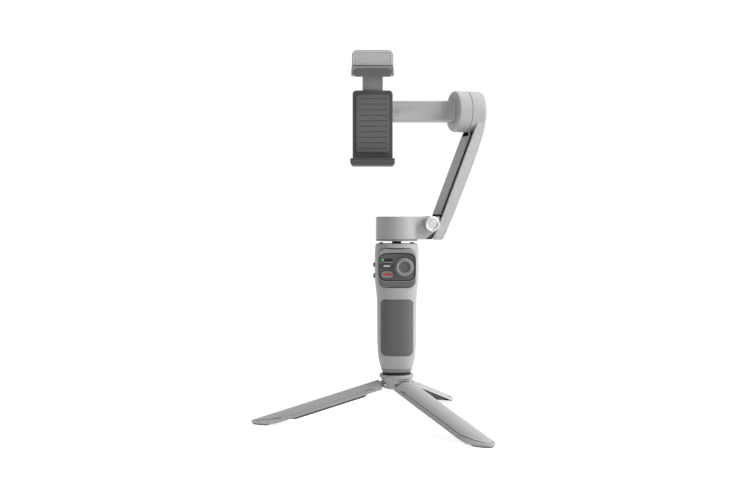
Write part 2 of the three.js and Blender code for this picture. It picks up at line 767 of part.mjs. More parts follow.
function buildArmShell() {
  const { flangeInner, flangeOuter, innerEdge, web, motorEnd } = ARM;
  const { height, radius, seam } = TILT_MOTOR;
  const flangeShape = armOutline(-13.3, innerEdge, 0);
  const flanges = [
    extrude("y", flangeShape, -flangeOuter, -flangeInner, 2),
    extrude("y", flangeShape, flangeInner, flangeOuter, 2),
  ];
  const webSolid = cut(
    extrude("y", armOutline(-2.5, innerEdge, 0), -flangeOuter, flangeOuter, 2),
    extrude("y", armOutline(-2.6, innerEdge - 9, web, 110), -flangeInner, flangeInner, 5),
  );
  const cup = revolve(
    "x",
    [
      [0, seam],
      [radius, seam],
      [radius, motorEnd - 3],
      [radius - 0.9, motorEnd - 0.9],
      [radius - 3, motorEnd],
      [0, motorEnd],
    ],
    [0, height],
    32,
  );
  const cupHollow = rod("x", radius - 2, 0, motorEnd - 2.2, [0, height], 26);
  const seat = ring("x", 3.3, 6, motorEnd - 6, motorEnd - 2, [0, height], 20);
  const clearInner = block(-40, seam, -30, 30, height - radius - 1, height + 40);
  const blade = cut(join(webSolid, ...flanges), clearInner);
  const post = rod("x", 2.3, 38.8, 46.6, COVER_SCREW, 14);
  const postBore = rod("x", 1.1, 38, 45, COVER_SCREW, 10);
  return cut(join(cut(join(blade, cup), cupHollow), seat, post), postBore);
}

addMesh(arm, "arm_outer_shell", buildArmShell(), PLASTIC_LIGHT);

// Inner cover: a channel between the flanges whose flat face looks at the phone.
const COVER = { halfDepth: 10.4, wall: 1.2, proud: 1.5, bottom: 8.2, top: 75.8 };
function buildArmCover() {
  const edge = ARM.innerEdge - COVER.proud;
  const room = ARM.web + GAP;
  const outside = armOutline(COVER.bottom, edge, room + 0.3, 88);
  const inside = armOutline(COVER.bottom - 2, edge + COVER.wall, -20, 88);
  const face = cut(
    extrude("y", outside, -COVER.halfDepth, COVER.halfDepth, 5),
    extrude("y", inside, -COVER.halfDepth + COVER.wall, COVER.halfDepth - COVER.wall, 5),
  );
  return cut(face, block(-60, 90, -30, 30, COVER.top, 140));
}
addMesh(arm, "arm_inner_cover", buildArmCover(), PLASTIC_GREY);

// Core: the tongue that turns in the fork, with a spine up inside the arm.
function buildArmCore() {
  const spine = armOutline(-1.5, 7.4, ARM.web + GAP, 88);
  const body = cut(
    extrude("y", spine, -7, 7, 5),
    block(-60, 90, -30, 30, 34, 130),
  );
  const barrel = join(rod("y", 6.6, -7, 7, [0, 0], 24), block(0, 10, -7, 7, -2, 5));
  return cut(join(barrel, body), rod("y", 2.75, -10, 10, [0, 0], 20));
}
addMesh(arm, "arm_core", buildArmCore(), BLACK);

addMesh(
  arm,
  "arm_cover_screw",
  join(rod("x", 1.6, 37.4, 38.6, COVER_SCREW, 14), rod("x", 0.8, 38.5, 43, COVER_SCREW, 10)),
  SILVER,
);

// ---------------------------------------------------------------- tilt motor
// Each stator is pressed on its shaft, so the two are one piece.
addMesh(
  arm,
  "tilt_stator",
  join(
    rod("x", 3.1, 27.6, ARM.motorEnd - 2.4, [0, TILT_MOTOR.height], 20),
    rod("x", 11.2, 33.6, 42.6, [0, TILT_MOTOR.height], 28),
  ),
  COPPER,
);

const tilt = addGroup(arm, 0, 0, TILT_MOTOR.height);
function buildTiltHousing() {
  const { radius, innerEnd, seam } = TILT_MOTOR;
  const body = revolve(
    "x",
    [
      [0, innerEnd],
      [radius - 2.4, innerEnd],
      [radius - 0.8, innerEnd + 0.8],
      [radius, innerEnd + 2.4],
      [radius, seam - GAP],
      [0, seam - GAP],
    ],
    [0, 0],
    32,
  );
  const hollow = rod("x", radius - 2, innerEnd + 7, seam + 5, [0, 0], 26);
  const bearingSeat = rod("x", 6.9, innerEnd + 3, seam, [0, 0], 24);
  return cut(body, hollow, bearingSeat);
}
addMesh(tilt, "tilt_inner_housing", buildTiltHousing(), PLASTIC_LIGHT);
addMesh(tilt, "tilt_bearing", ring("x", 3.4, 6.7, 27.2, 30.6, [0, 0], 24), STEEL);
addMesh(tilt, "tilt_rotor", ring("x", 12, 14.4, 31.3, 43.4, [0, 0], 26), STEEL);

// ---------------------------------------------------------------- roll arm and roll motor
// The frame from here on is square to the phone: the pan motor's yaw is undone, and
// the origin is the handle's axis at the surface.
const carrier = addGroup(tilt, -FOLD_PIVOT.x, 0, -FOLD_PIVOT.z - TILT_MOTOR.height);
const square = addGroup(carrier);
square.rotation.z = -PAN_YAW;
const rollCentre = [CLAMP_X, ROLL_AXIS_Z];

function buildRollArm() {
  const endX = TILT_MOTOR.innerEnd + FOLD_PIVOT.x - GAP;
  const onFace = (side) => [
    endX * Math.cos(PAN_YAW) - side * Math.sin(PAN_YAW),
    endX * Math.sin(PAN_YAW) + side * Math.cos(PAN_YAW),
  ];
  const [front, rear] = [onFace(-9), onFace(9)];
  const plan = new THREE.Shape();
  plan.moveTo(...front);
  plan.lineTo(...rear);
  plan.quadraticCurveTo(34, 21.5, 26, 21.5);
  plan.lineTo(CLAMP_X, 21.5);
  plan.lineTo(CLAMP_X, 9.6);
  plan.lineTo(34, 9.6);
  plan.quadraticCurveTo(42, 9.6, ...front);
  const bar = extrude("z", plan, ROLL_AXIS_Z - 9, ROLL_AXIS_Z + 9);
  const { radius } = ROLL_MOTOR;
  const can = revolve(
    "y",
    [
      [0, ROLL_MOTOR.front],
      [radius, ROLL_MOTOR.front],
      [radius, ROLL_MOTOR.back - 1.2],
      [radius - 1.2, ROLL_MOTOR.back],
      [0, ROLL_MOTOR.back],
    ],
    rollCentre,
    30,
  );
  const hollow = rod("y", radius - 1.8, ROLL_MOTOR.front - 1, ROLL_MOTOR.back - 5.5, rollCentre, 26);
  const bearingSeat = rod("y", 6.9, 10, ROLL_MOTOR.back - 2.2, rollCentre, 24);
  return cut(join(bar, can), hollow, bearingSeat);
}
addMesh(square, "roll_arm", buildRollArm(), PLASTIC_LIGHT);
addMesh(square, "roll_bearing", ring("y", 3.4, 6.7, 21.7, 24.9, rollCentre, 24), STEEL);
addMesh(square, "roll_stator", ring("y", 3.5, 11, 12.6, 20.8, rollCentre, 28), COPPER);

// ---------------------------------------------------------------- clamp
const roll = addGroup(square);
const CLAMP_PLATE = { halfWidth: 17, front: 1.4, back: 7.4, top: 281.5 };
const CHANNEL = { halfWidth: 12.6, front: 3, back: 6, bottom: 226.5 };
const SPRING_RADIUS = 1.3;

function buildClampBody() {
  const { half, bottom: jawBottom, top: jawTop, corner, front: jawFront } = LOWER_JAW;
  const jaw = new THREE.Shape();
  jaw.moveTo(-half, jawTop);
  jaw.absarc(-half + corner, jawBottom + corner, corner, Math.PI, Math.PI * 1.5);
  jaw.absarc(half - corner, jawBottom + corner, corner, -Math.PI / 2, 0);
  jaw.lineTo(half, jawTop);
  jaw.closePath();
  const { halfWidth, front, back, top } = CLAMP_PLATE;
  const plate = extrude("y", roundedRect(-halfWidth, halfWidth, 219, top, 3), front, back);
  const rotorBoss = rod("y", 11.4, back - 1, 8.6, [0, ROLL_AXIS_Z], 28);
  const trough = block(-30, 30, jawFront + 1.6, front, PHONE.bottom - 1.4, 230);
  const channel = block(
    -CHANNEL.halfWidth,
    CHANNEL.halfWidth,
    CHANNEL.front,
    CHANNEL.back,
    CHANNEL.bottom,
    300,
  );
  const solid = join(extrude("y", jaw, jawFront, back), plate, rotorBoss);
  return cut(solid, trough, channel).translate([CLAMP_X, 0, 0]);
}
addMesh(roll, "clamp_body", buildClampBody(), PLASTIC_DARK);
addMesh(
  roll,
  "roll_rotor",
  join(
    rod("y", 3.1, 8.8, 25.2, rollCentre, 20),
    rod("y", 14.6, 8.8, 10.8, rollCentre, 26),
    ring("y", 11.7, 14.6, 10.6, 21.4, rollCentre, 26),
  ),
  STEEL,
);
addMesh(
  roll,
  "lower_jaw_pad",
  block(CLAMP_X - 16.5, CLAMP_X + 16.5, -9, 0.2, PHONE.bottom - 1.3, PHONE.bottom),
  RUBBER,
);
addMesh(
  roll,
  "back_pad",
  extrude("y", roundedRect(-14, 14, 229, 278, 3), PHONE.back, CLAMP_PLATE.front - 0.05).translate([
    CLAMP_X,
    0,
    0,
  ]),
  RUBBER,
);

// A coil spring along Z, drawn as one closed wire.
class Coil extends THREE.Curve {
  constructor(radius, turns, length) {
    super();
    Object.assign(this, { radius, turns, length });
  }

  getPoint(t, target = new THREE.Vector3()) {
    const angle = t * this.turns * Math.PI * 2;
    const [x, y] = [this.radius * Math.cos(angle), this.radius * Math.sin(angle)];
    return target.set(x, y, t * this.length);
  }
}

function coilSpring(radius, wire, turns, length) {
  const section = new THREE.Shape();
  section.absarc(0, 0, wire, 0, Math.PI * 2);
  const options = {
    steps: turns * 6,
    bevelEnabled: false,
    curveSegments: 2,
    extrudePath: new Coil(radius, turns, length),
  };
  return toSolid(new THREE.ExtrudeGeometry(section, options));
}

const upperJaw = addGroup(roll);
const STEM = { halfWidth: 8.6, front: 3.3, back: 5.7, bottom: 240 };
for (const [name, side] of [
  ["clamp_spring_left", -1],
  ["clamp_spring_right", 1],
]) {
  const spring = addGroup(roll, CLAMP_X + side * 10.6, 4.5, CHANNEL.bottom + 3);
  addMesh(spring, name, coilSpring(SPRING_RADIUS - 0.35, 0.3, 7, 46), STEEL);
}

function buildUpperJaw() {
  const half = UPPER_JAW_HALF_WIDTH;
  const top = 300.5;
  const ceiling = PHONE.top + 1.4;
  const back = STEM.back + 0.2;
  const jaw = join(
    extrude("y", roundedRect(-half, half, ceiling, top, 1.2), -10.5, back),
    extrude("y", roundedRect(-half, half, 291.9, top, 1.2), -10.5, -9.1),
    block(-STEM.halfWidth, STEM.halfWidth, STEM.front, STEM.back, STEM.bottom, top - 1),
  );
  const padRecess = join(
    extrude("y", roundedRect(-15.9, 15.9, 285, 298.2, 3.6), -12, -9.7),
    block(-15.9, 15.9, -12, -9, 285, ceiling),
  );
  const lug = (x0, x1) => {
    const { y, z, radius } = LIGHT_HINGE;
    return cut(
      join(rod("x", radius, x0, x1, [y, z], 18), block(x0, x1, y - radius, back, top - 1.5, z)),
      rod("x", 1.2, x0 - 1, x1 + 1, [y, z], 12),
    );
  };
  return join(cut(jaw, padRecess), lug(-13.4, -10.6), lug(10.6, 13.4)).translate([CLAMP_X, 0, 0]);
}
addMesh(upperJaw, "upper_jaw", buildUpperJaw(), PLASTIC_GREY);
addMesh(
  upperJaw,
  "upper_jaw_pad",
  join(
    extrude("y", roundedRect(-15.6, 15.6, 291.6, 297.9, 3.1), -11.2, -9.8),
    block(-15.2, 15.2, -10, 0.6, PHONE.top, PHONE.top + 1.1),
  ).translate([CLAMP_X, 0, 0]),
  RUBBER,
);

// ---------------------------------------------------------------- fill light
addMesh(
  upperJaw,
  "light_hinge_pin",
  rod("x", 0.95, CLAMP_X - 13.4, CLAMP_X + 13.4, [LIGHT_HINGE.y, LIGHT_HINGE.z], 10),
  STEEL,
);
const light = addGroup(upperJaw);

function lightOutline(inset) {
  const { halfWidth, bottom, top, corner } = LIGHT;
  const half = halfWidth - inset;
  const radius = corner - inset;
  const shape = new THREE.Shape();
  shape.moveTo(-half, bottom + inset);
  shape.lineTo(half, bottom + inset);
  shape.lineTo(half, top - inset - radius);
  shape.absarc(half - radius, top - inset - radius, radius, 0, Math.PI / 2);
  shape.lineTo(-half + radius, top - inset);
  shape.absarc(-half + radius, top - inset - radius, radius, Math.PI / 2, Math.PI);
  shape.closePath();
  return shape;
}

function buildLightHousing() {
  const { y, z, radius } = LIGHT_HINGE;
  const body = extrude("y", lightOutline(0), LIGHT.front, LIGHT.back);
  const recess = extrude("y", lightOutline(1.2), LIGHT.front - 1, LIGHT.front + 3.2);
  const barrel = join(
    rod("x", radius, -10.3, 10.3, [y, z], 18),
    block(-10.3, 10.3, LIGHT.back - 0.5, y, z, z + radius),
  );
  const notches = [-1, 1].map((side) =>
    rod("x", radius + GAP, side * 12 - 1.9, side * 12 + 1.9, [y, z], 18).add(
      block(side * 12 - 1.9, side * 12 + 1.9, y - radius - GAP, y + radius, 299, z),
    ),
  );
  const bore = rod("x", 1.25, -11, 11, [y, z], 12);
  return cut(join(cut(body, recess), barrel), ...notches, bore).translate([CLAMP_X, 0, 0]);
}
addMesh(light, "light_housing", buildLightHousing(), PLASTIC_LIGHT);
addMesh(
  light,
  "light_board",
  extrude("y", lightOutline(1.6), LIGHT.front + 2.2, LIGHT.front + 3.1).translate([CLAMP_X, 0, 0]),
  BOARD_GREEN,
);
addMesh(
  light,
  "light_diffuser",
  extrude("y", lightOutline(1.4), LIGHT.front - 0.3, LIGHT.front + 1.1).translate([CLAMP_X, 0, 0]),
  DIFFUSER_WHITE,
);

// ---------------------------------------------------------------- origin
// The origin lies on the standing surface, below the middle of the bounding box.
group.updateMatrixWorld(true);
const bounds = new THREE.Box3().setFromObject(gimbal, true);
const middle = bounds.getCenter(new THREE.Vector3());
gimbal.position.set(-middle.x, -middle.y, -bounds.min.z);
group.updateMatrixWorld(true);

export default group;
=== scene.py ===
"""Looks for a folding phone stabilizer on a mini tripod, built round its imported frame.

Each piece is drawn in millimetres in the local frame of the group that it belongs to: the handle's,
the pan motor's, the folding arm's, the clamp's or a leg's. Those frames come from the record's joints
and the sizes from the CAD nodes, so a piece lands where the CAD says.
"""
import json
import math

import bmesh
import bpy
from mathutils import Matrix, Vector
from mathutils.bvhtree import BVHTree


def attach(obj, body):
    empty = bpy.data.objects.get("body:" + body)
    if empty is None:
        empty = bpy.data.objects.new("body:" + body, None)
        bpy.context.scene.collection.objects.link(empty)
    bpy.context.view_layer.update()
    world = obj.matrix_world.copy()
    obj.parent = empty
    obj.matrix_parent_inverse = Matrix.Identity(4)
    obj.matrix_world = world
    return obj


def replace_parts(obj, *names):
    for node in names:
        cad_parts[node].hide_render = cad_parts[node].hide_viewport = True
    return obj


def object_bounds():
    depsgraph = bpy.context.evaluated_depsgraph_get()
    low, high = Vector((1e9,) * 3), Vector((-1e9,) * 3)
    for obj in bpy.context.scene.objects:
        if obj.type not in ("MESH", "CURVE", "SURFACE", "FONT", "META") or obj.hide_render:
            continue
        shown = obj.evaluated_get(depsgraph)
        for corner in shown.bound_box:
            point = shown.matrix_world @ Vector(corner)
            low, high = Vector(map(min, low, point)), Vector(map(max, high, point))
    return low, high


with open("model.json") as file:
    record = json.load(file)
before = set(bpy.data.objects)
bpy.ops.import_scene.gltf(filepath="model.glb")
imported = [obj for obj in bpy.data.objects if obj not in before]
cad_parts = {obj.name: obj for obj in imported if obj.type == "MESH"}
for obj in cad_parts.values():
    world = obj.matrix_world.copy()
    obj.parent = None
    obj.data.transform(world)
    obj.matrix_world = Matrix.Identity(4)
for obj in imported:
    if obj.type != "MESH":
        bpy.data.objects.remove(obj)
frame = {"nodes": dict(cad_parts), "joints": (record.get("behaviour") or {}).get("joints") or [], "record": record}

CAD_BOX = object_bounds()
MM = 0.001
GAP = 0.3  # running clearance between pieces, as in the CAD

# ------------------------------------------------------------------ local frames
JOINTS = {joint["name"]: joint for joint in frame["joints"]}
BODY_OF = {
    node: body for body, nodes in frame["record"]["behaviour"]["bodies"].items() for node in nodes
}
SLOT_OF = {part["node"]: part["material_slot"] for part in frame["record"]["subparts"]}


def joint_place(name):
    return Vector(JOINTS[name]["pos_m"])


def yaw_of(name):
    """The turn about Z that takes +Y to the joint's axis."""
    x, y, _ = JOINTS[name]["axis"]
    return math.atan2(-x, y)


def local_frame(origin, yaw=0.0, slope=0.0):
    """Millimetres at the origin, turned by yaw about Z and then by slope about the turned Y."""
    turned = Matrix.Rotation(yaw, 4, "Z") @ Matrix.Rotation(slope, 4, "Y")
    return Matrix.Translation(origin) @ turned @ Matrix.Scale(MM, 4)


SCREW = joint_place("tripod_screw")
LEG_SLOPE = math.radians(17)
HANDLE = local_frame((SCREW.x, SCREW.y, 0))
PAN = local_frame((SCREW.x, SCREW.y, 0), yaw_of("arm_fold"))
ARM = local_frame(joint_place("arm_fold"), yaw_of("arm_fold"))
CLAMP = local_frame((joint_place("roll").x, SCREW.y, 0))
LEGS = {
    number: local_frame(joint_place(f"leg_{number}_fold"), yaw_of(f"leg_{number}_fold"), LEG_SLOPE)
    for number in (1, 2, 3)
}


def box_in(place, *nodes):
    """Lowest and highest corner of the CAD nodes in a local frame, in millimetres."""
    inverse = place.inverted()
    points = [inverse @ v.co for node in nodes for v in frame["nodes"][node].data.vertices]
    low = Vector(min(p[axis] for p in points) for axis in range(3))
    high = Vector(max(p[axis] for p in points) for axis in range(3))
    return low, high


# ------------------------------------------------------------------ outlines
def arc(centre, radius, start, end, steps):
    """Points on an arc, between two angles in degrees."""
    angles = [math.radians(start + (end - start) * k / steps) for k in range(steps + 1)]
    return [(centre[0] + radius * math.cos(a), centre[1] + radius * math.sin(a)) for a in angles]


def bezier(start, first, second, end, steps=10):
    points = []
    for k in range(steps + 1):
        t = k / steps
        weights = ((1 - t) ** 3, 3 * t * (1 - t) ** 2, 3 * t * t * (1 - t), t**3)
        corners = (start, first, second, end)
        points.append(tuple(sum(w * c[i] for w, c in zip(weights, corners)) for i in (0, 1)))
    return points


def smooth_curve(knots, steps=8):
    """A Catmull-Rom curve through the knots."""
    points = []
    for i in range(len(knots) - 1):
        a, b, c, d = (Vector(knots[max(0, min(len(knots) - 1, i + k))]) for k in (-1, 0, 1, 2))
        for k in range(steps):
            t = k / steps
            point = 0.5 * (
                2 * b
                + (c - a) * t
                + (2 * a - 5 * b + 4 * c - d) * t**2
                + (3 * b - a - 3 * c + d) * t**3
            )
            points.append(tuple(point))
    points.append(tuple(knots[-1]))
    return points


def filleted(points, radius, steps=6, closed=True):
    """The corners replaced by arcs. radius is one number, or one for each corner."""
    result = []
    for i, corner in enumerate(points):
        size = radius[i] if isinstance(radius, (list, tuple)) else radius
        here = Vector(corner)
        back = Vector(points[i - 1]) - here
        ahead = Vector(points[(i + 1) % len(points)]) - here
        is_end = not closed and i in (0, len(points) - 1)
        if is_end or size <= 0 or back.length < 1e-6 or ahead.length < 1e-6:
            result.append(tuple(corner))
            continue
        half = back.angle(ahead) / 2
        if half > math.radians(88):
            result.append(tuple(corner))
            continue
        reach = min(size / math.tan(half), 0.49 * back.length, 0.49 * ahead.length)
        towards = (back.normalized() + ahead.normalized()).normalized()
        centre = here + towards * (reach / math.cos(half))
        first = here + back.normalized() * reach - centre
        last = here + ahead.normalized() * reach - centre
        sweep = math.atan2(first.x * last.y - first.y * last.x, first.dot(last))
        for k in range(steps + 1):
            turned = Matrix.Rotation(sweep * k / steps, 2) @ first
            result.append(tuple(centre + turned))
    return result


def rounded_rect(x0, x1, y0, y1, radius, steps=8):
    return filleted([(x0, y0), (x1, y0), (x1, y1), (x0, y1)], radius, steps)


def rect_about(x, y, half_x, half_y, radius, steps=8):
    return rounded_rect(x - half_x, x + half_x, y - half_y, y + half_y, radius, steps)


def inset(points, distance):
    """The closed outline moved inwards, square to its sides."""
    if not distance:
        return list(points)
    count = len(points)
    area = sum(
        points[i][0] * points[(i + 1) % count][1] - points[(i + 1) % count][0] * points[i][1]
        for i in range(count)
    )
    side = 1 if area > 0 else -1
    moved = []
    for i in range(count):
        here = Vector(points[i])
        before = (here - Vector(points[i - 1])).normalized()
        after = (Vector(points[(i + 1) % count]) - here).normalized()
        normals = [Vector((-d.y, d.x)) * side for d in (before, after)]
        mitre = (normals[0] + normals[1]) / max(0.3, 1 + normals[0].dot(normals[1]))
        moved.append(tuple(here + mitre * distance))
    return moved


# ------------------------------------------------------------------ solids
TURN = {
    "x": lambda u, v, w: (w, u, v),
    "y": lambda u, v, w: (u, w, v),
    "z": lambda u, v, w: (u, v, w),
}


def solid(vertices, faces):
    """A new object in millimetres, with its faces pointing out."""
    mesh = bpy.data.meshes.new("solid")
    mesh.from_pydata(vertices, [], faces)
    shape = bmesh.new()
    shape.from_mesh(mesh)
    bmesh.ops.recalc_face_normals(shape, faces=shape.faces)
    shape.to_mesh(mesh)
    shape.free()
    obj = bpy.data.objects.new("solid", mesh)
    bpy.context.scene.collection.objects.link(obj)
    return obj


def loft(rings, closed=False):
    """A solid through rings of equally many points, with flat ends or closed on itself."""
    count = len(rings[0])
    vertices = [point for ring in rings for point in ring]
    faces = []
    for r in range(len(rings) if closed else len(rings) - 1):
        low, high = r * count, ((r + 1) % len(rings)) * count
        for i in range(count):
            j = (i + 1) % count
            faces.append((low + i, low + j, high + j, high + i))
    if not closed:
        faces.append(tuple(range(count)))
        faces.append(tuple(range(len(vertices) - count, len(vertices))))
    return solid(vertices, faces)


def rounded_ends(start, end, edges, steps=3):
    """(inset, station) pairs from start to end, with each end's edge rounded by its radius."""
    parts = []
    for sign, at, radius in ((1, start, edges[0]), (-1, end, edges[1])):
        turns = [math.pi / 2 * k / steps for k in range(steps + 1)] if radius else [math.pi / 2]
        parts.append(
            [
                (radius * (1 - math.sin(a)), at + sign * radius * (1 - math.cos(a)))
                if radius
                else (0, at)
                for a in turns
            ]
        )
    return parts[0] + parts[1][::-1]


def prism(axis, outline, start, end, edges=(0, 0), steps=3):
    """An outline extruded along an axis. edges are the radii that round its two ends."""
    rings = [
        [TURN[axis](u, v, station) for u, v in inset(outline, amount)]
        for amount, station in rounded_ends(start, end, edges, steps)
    ]
    return loft(rings)


def block(x0, x1, y0, y1, z0, z1):
    return prism("z", [(x0, y0), (x1, y0), (x1, y1), (x0, y1)], z0, z1)


def revolve(axis, profile, centre=(0, 0), segments=96, shape=lambda angle, radius, height: radius):
    """(radius, height) points turned about an axis. shape may change the radius round the turn."""
    closed = profile[0] == profile[-1]
    rows = profile[:-1] if closed else profile
    vertices = []
    rings = []
    for radius, height in rows:
        if radius < 1e-6:
            rings.append([len(vertices)] * segments)
            vertices.append(TURN[axis](centre[0], centre[1], height))
            continue
        rings.append(list(range(len(vertices), len(vertices) + segments)))
        for k in range(segments):
            angle = 2 * math.pi * k / segments
            r = shape(angle, radius, height)
            u, v = centre[0] + r * math.cos(angle), centre[1] + r * math.sin(angle)
            vertices.append(TURN[axis](u, v, height))
    faces = []
    for i in range(len(rings) if closed else len(rings) - 1):
        low, high = rings[i], rings[(i + 1) % len(rings)]
        for k in range(segments):
            j = (k + 1) % segments
            corners = [low[k], low[j], high[j], high[k]]
            corners = list(dict.fromkeys(corners))
            if len(corners) > 2:
                faces.append(corners)
    return solid(vertices, faces)


def rod(axis, radius, start, end, centre=(0, 0), edge=0.0, segments=64):
    profile = [(0, start), (radius, start), (radius, end), (0, end)]
    return revolve(axis, filleted(profile, edge, 4, closed=False), centre, segments)


def drum(axis, radius, start, end, edges, centre):
    """A motor's can, whose two rims are rounded by their own radii."""
    corners = [(0, start), (radius, start), (radius, end), (0, end)]
    return revolve(axis, filleted(corners, [0, *edges, 0], 8, closed=False), centre, 128)


def ring(axis, inner, outer, start, end, centre=(0, 0), edge=0.0, segments=96):
    profile = filleted([(inner, start), (outer, start), (outer, end), (inner, end)], edge, 4)
    return revolve(axis, [*profile, profile[0]], centre, segments)


def end_groove(axis, radius, end, centre):
    """The cutter for the fine round groove in a motor's end face."""
    return ring(axis, radius - 4.6, radius - 4.25, end - 0.3, end + 1, centre)


def settle(obj):
    """Applies the object's modifiers."""
    bpy.context.view_layer.update()
    evaluated = obj.evaluated_get(bpy.context.evaluated_depsgraph_get())
    mesh = bpy.data.meshes.new_from_object(evaluated)
    old = obj.data
    obj.modifiers.clear()
    obj.data = mesh
    bpy.data.meshes.remove(old)
    return obj


def combine(operation, target, *others):
    """Cuts, joins or intersects the target with the others, which are used up."""
    for other in others:
        modifier = target.modifiers.new("Boolean", "BOOLEAN")
        modifier.operation = operation
        modifier.solver = "MANIFOLD"
        modifier.object = other
    settle(target)
    for other in others:
        bpy.data.objects.remove(other)
    if not target.data.polygons:
        raise ValueError("a cut or join left nothing")
    return target


def cut(target, *others):
    return combine("DIFFERENCE", target, *others)


def join(target, *others):
    return combine("UNION", target, *others)


def keep(target, *others):
    return combine("INTERSECT", target, *others)


def softened(obj, width, angle=32, segments=2):
    """Rounds the sharp edges and evens out the shading."""
    if width:
        bevel = obj.modifiers.new("Bevel", "BEVEL")
        bevel.width = width
        bevel.segments = segments
        bevel.limit_method = "ANGLE"
        bevel.angle_limit = math.radians(angle)
        bevel.use_clamp_overlap = True
        bevel.miter_outer = "MITER_ARC"
    settle(obj)
    for polygon in obj.data.polygons:
        polygon.use_smooth = True
    obj.data.set_sharp_from_angle(angle=math.radians(50))
    weighted = obj.modifiers.new("Weighted", "WEIGHTED_NORMAL")
    weighted.keep_sharp = True
    return settle(obj)


def add_detail(name, obj, place, node, look, bevel=0.0, angle=32):
    """Finishes a piece that rides on a CAD node's body, with the looks given."""
    softened(obj, bevel, angle)
    obj.name = name
    obj.data.name = name
    obj.data.transform(place)
    obj.data.materials.clear()
    for material in look if isinstance(look, list) else [look]:
        obj.data.materials.append(material)
    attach(obj, BODY_OF[node])
    return obj


def add(name, obj, place, node, look, bevel=0.0, angle=32):
    """Finishes a piece that stands for a CAD node."""
    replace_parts(add_detail(name, obj, place, node, look, bevel, angle), node)


def paint(obj, place, index_of):
    """Chooses each face's material from its centre and its normal in a local frame."""
    inverse = place.inverted()
    turn = place.to_3x3().normalized().inverted()
    for polygon in obj.data.polygons:
        polygon.material_index = int(index_of(inverse @ polygon.center, turn @ polygon.normal))


# ------------------------------------------------------------------ materials
class Nodes:
    """A short way to add and link shader nodes."""

    def __init__(self, name):
        self.material = bpy.data.materials.new(name)
        self.material.use_nodes = True
        self.tree = self.material.node_tree
        self.shader = self.tree.nodes["Principled BSDF"]
        self.place = self.new("ShaderNodeTexCoord").outputs["Object"]

    def new(self, kind, **settings):
        node = self.tree.nodes.new(kind)
        for key, value in settings.items():
            setattr(node, key, value)
        return node

    def link(self, output, socket):
        self.tree.links.new(output, socket)

    def noise(self, size, detail=2.0, roughness=0.5, stretch=None):
        """Noise whose features are about size millimetres across."""
        node = self.new("ShaderNodeTexNoise")
        node.inputs["Scale"].default_value = 1 / (size * MM)
        node.inputs["Detail"].default_value = detail
        node.inputs["Roughness"].default_value = roughness
        source = self.place
        if stretch:
            mapping = self.new("ShaderNodeMapping")
            mapping.inputs["Scale"].default_value = stretch
            self.link(source, mapping.inputs["Vector"])
            source = mapping.outputs["Vector"]
        self.link(source, node.inputs["Vector"])
        return node.outputs["Fac"]

    def spread(self, value, low, high, start=0.3, end=0.7):
        """Maps a value between start and end to low and high."""
        node = self.new("ShaderNodeMapRange")
        for key, number in zip(("From Min", "From Max", "To Min", "To Max"), (start, end, low, high)):
            node.inputs[key].default_value = number
        self.link(value, node.inputs["Value"])
        return node.outputs["Result"]

    def mix(self, factor, first, second):
        node = self.new("ShaderNodeMix", data_type="RGBA")
        self.link(factor, node.inputs["Factor"])
        for value, socket in ((first, node.inputs["A"]), (second, node.inputs["B"])):
            if isinstance(value, tuple):
                socket.default_value = (*value, 1)
            else:
                self.link(value, socket)
        return node.outputs["Result"]

    def times(self, first, second):
        node = self.new("ShaderNodeMath", operation="MULTIPLY")
        self.link(first, node.inputs[0])
        self.link(second, node.inputs[1])
        return node.outputs["Value"]

    def bump(self, height, depth, strength=1.0, under=None):
        """depth is how far the height's full range stands out, in millimetres."""
        node = self.new("ShaderNodeBump")
        node.inputs["Distance"].default_value = depth * MM
        node.inputs["Strength"].default_value = strength
        self.link(height, node.inputs["Height"])
        if under:
            self.link(under, node.inputs["Normal"])
        return node.outputs["Normal"]


    def vector(self, operation, source, other=None):
        node = self.new("ShaderNodeVectorMath", operation=operation)
        self.link(source, node.inputs[0])
        if other is not None:
            node.inputs[1].default_value = other
        return node.outputs["Value" if operation == "LENGTH" else "Vector"]

    def finish(self, colour, roughness, normal, values):
        """Links the shader's main inputs, sets the others by value, and returns the material."""
        inputs = self.shader.inputs
        for key, output in (("Base Color", colour), ("Roughness", roughness), ("Normal", normal)):
            if output:
                self.link(output, inputs[key])
        for key, value in values.items():
            inputs[key].default_value = value
        return self.material

    def tooled(self, marks, cloud_size, colour, tints, streak, rough, depth):
        """Bare metal from its tool marks: tinted clouds, darker marks and uneven roughness."""
        clouds = self.noise(cloud_size, 3)
        tint = self.mix(self.spread(clouds, 0, 1), *[shade(colour, factor) for factor in tints])
        streaked = self.mix(self.spread(marks, 0, streak[0]), tint, shade(colour, streak[1]))
        bump = self.bump(marks, depth, 0.6)
        return self.finish(streaked, self.spread(marks, *rough), bump, {"Metallic": 1.0})


def shade(colour, factor):
    return tuple(min(1.0, channel * factor) for channel in colour)


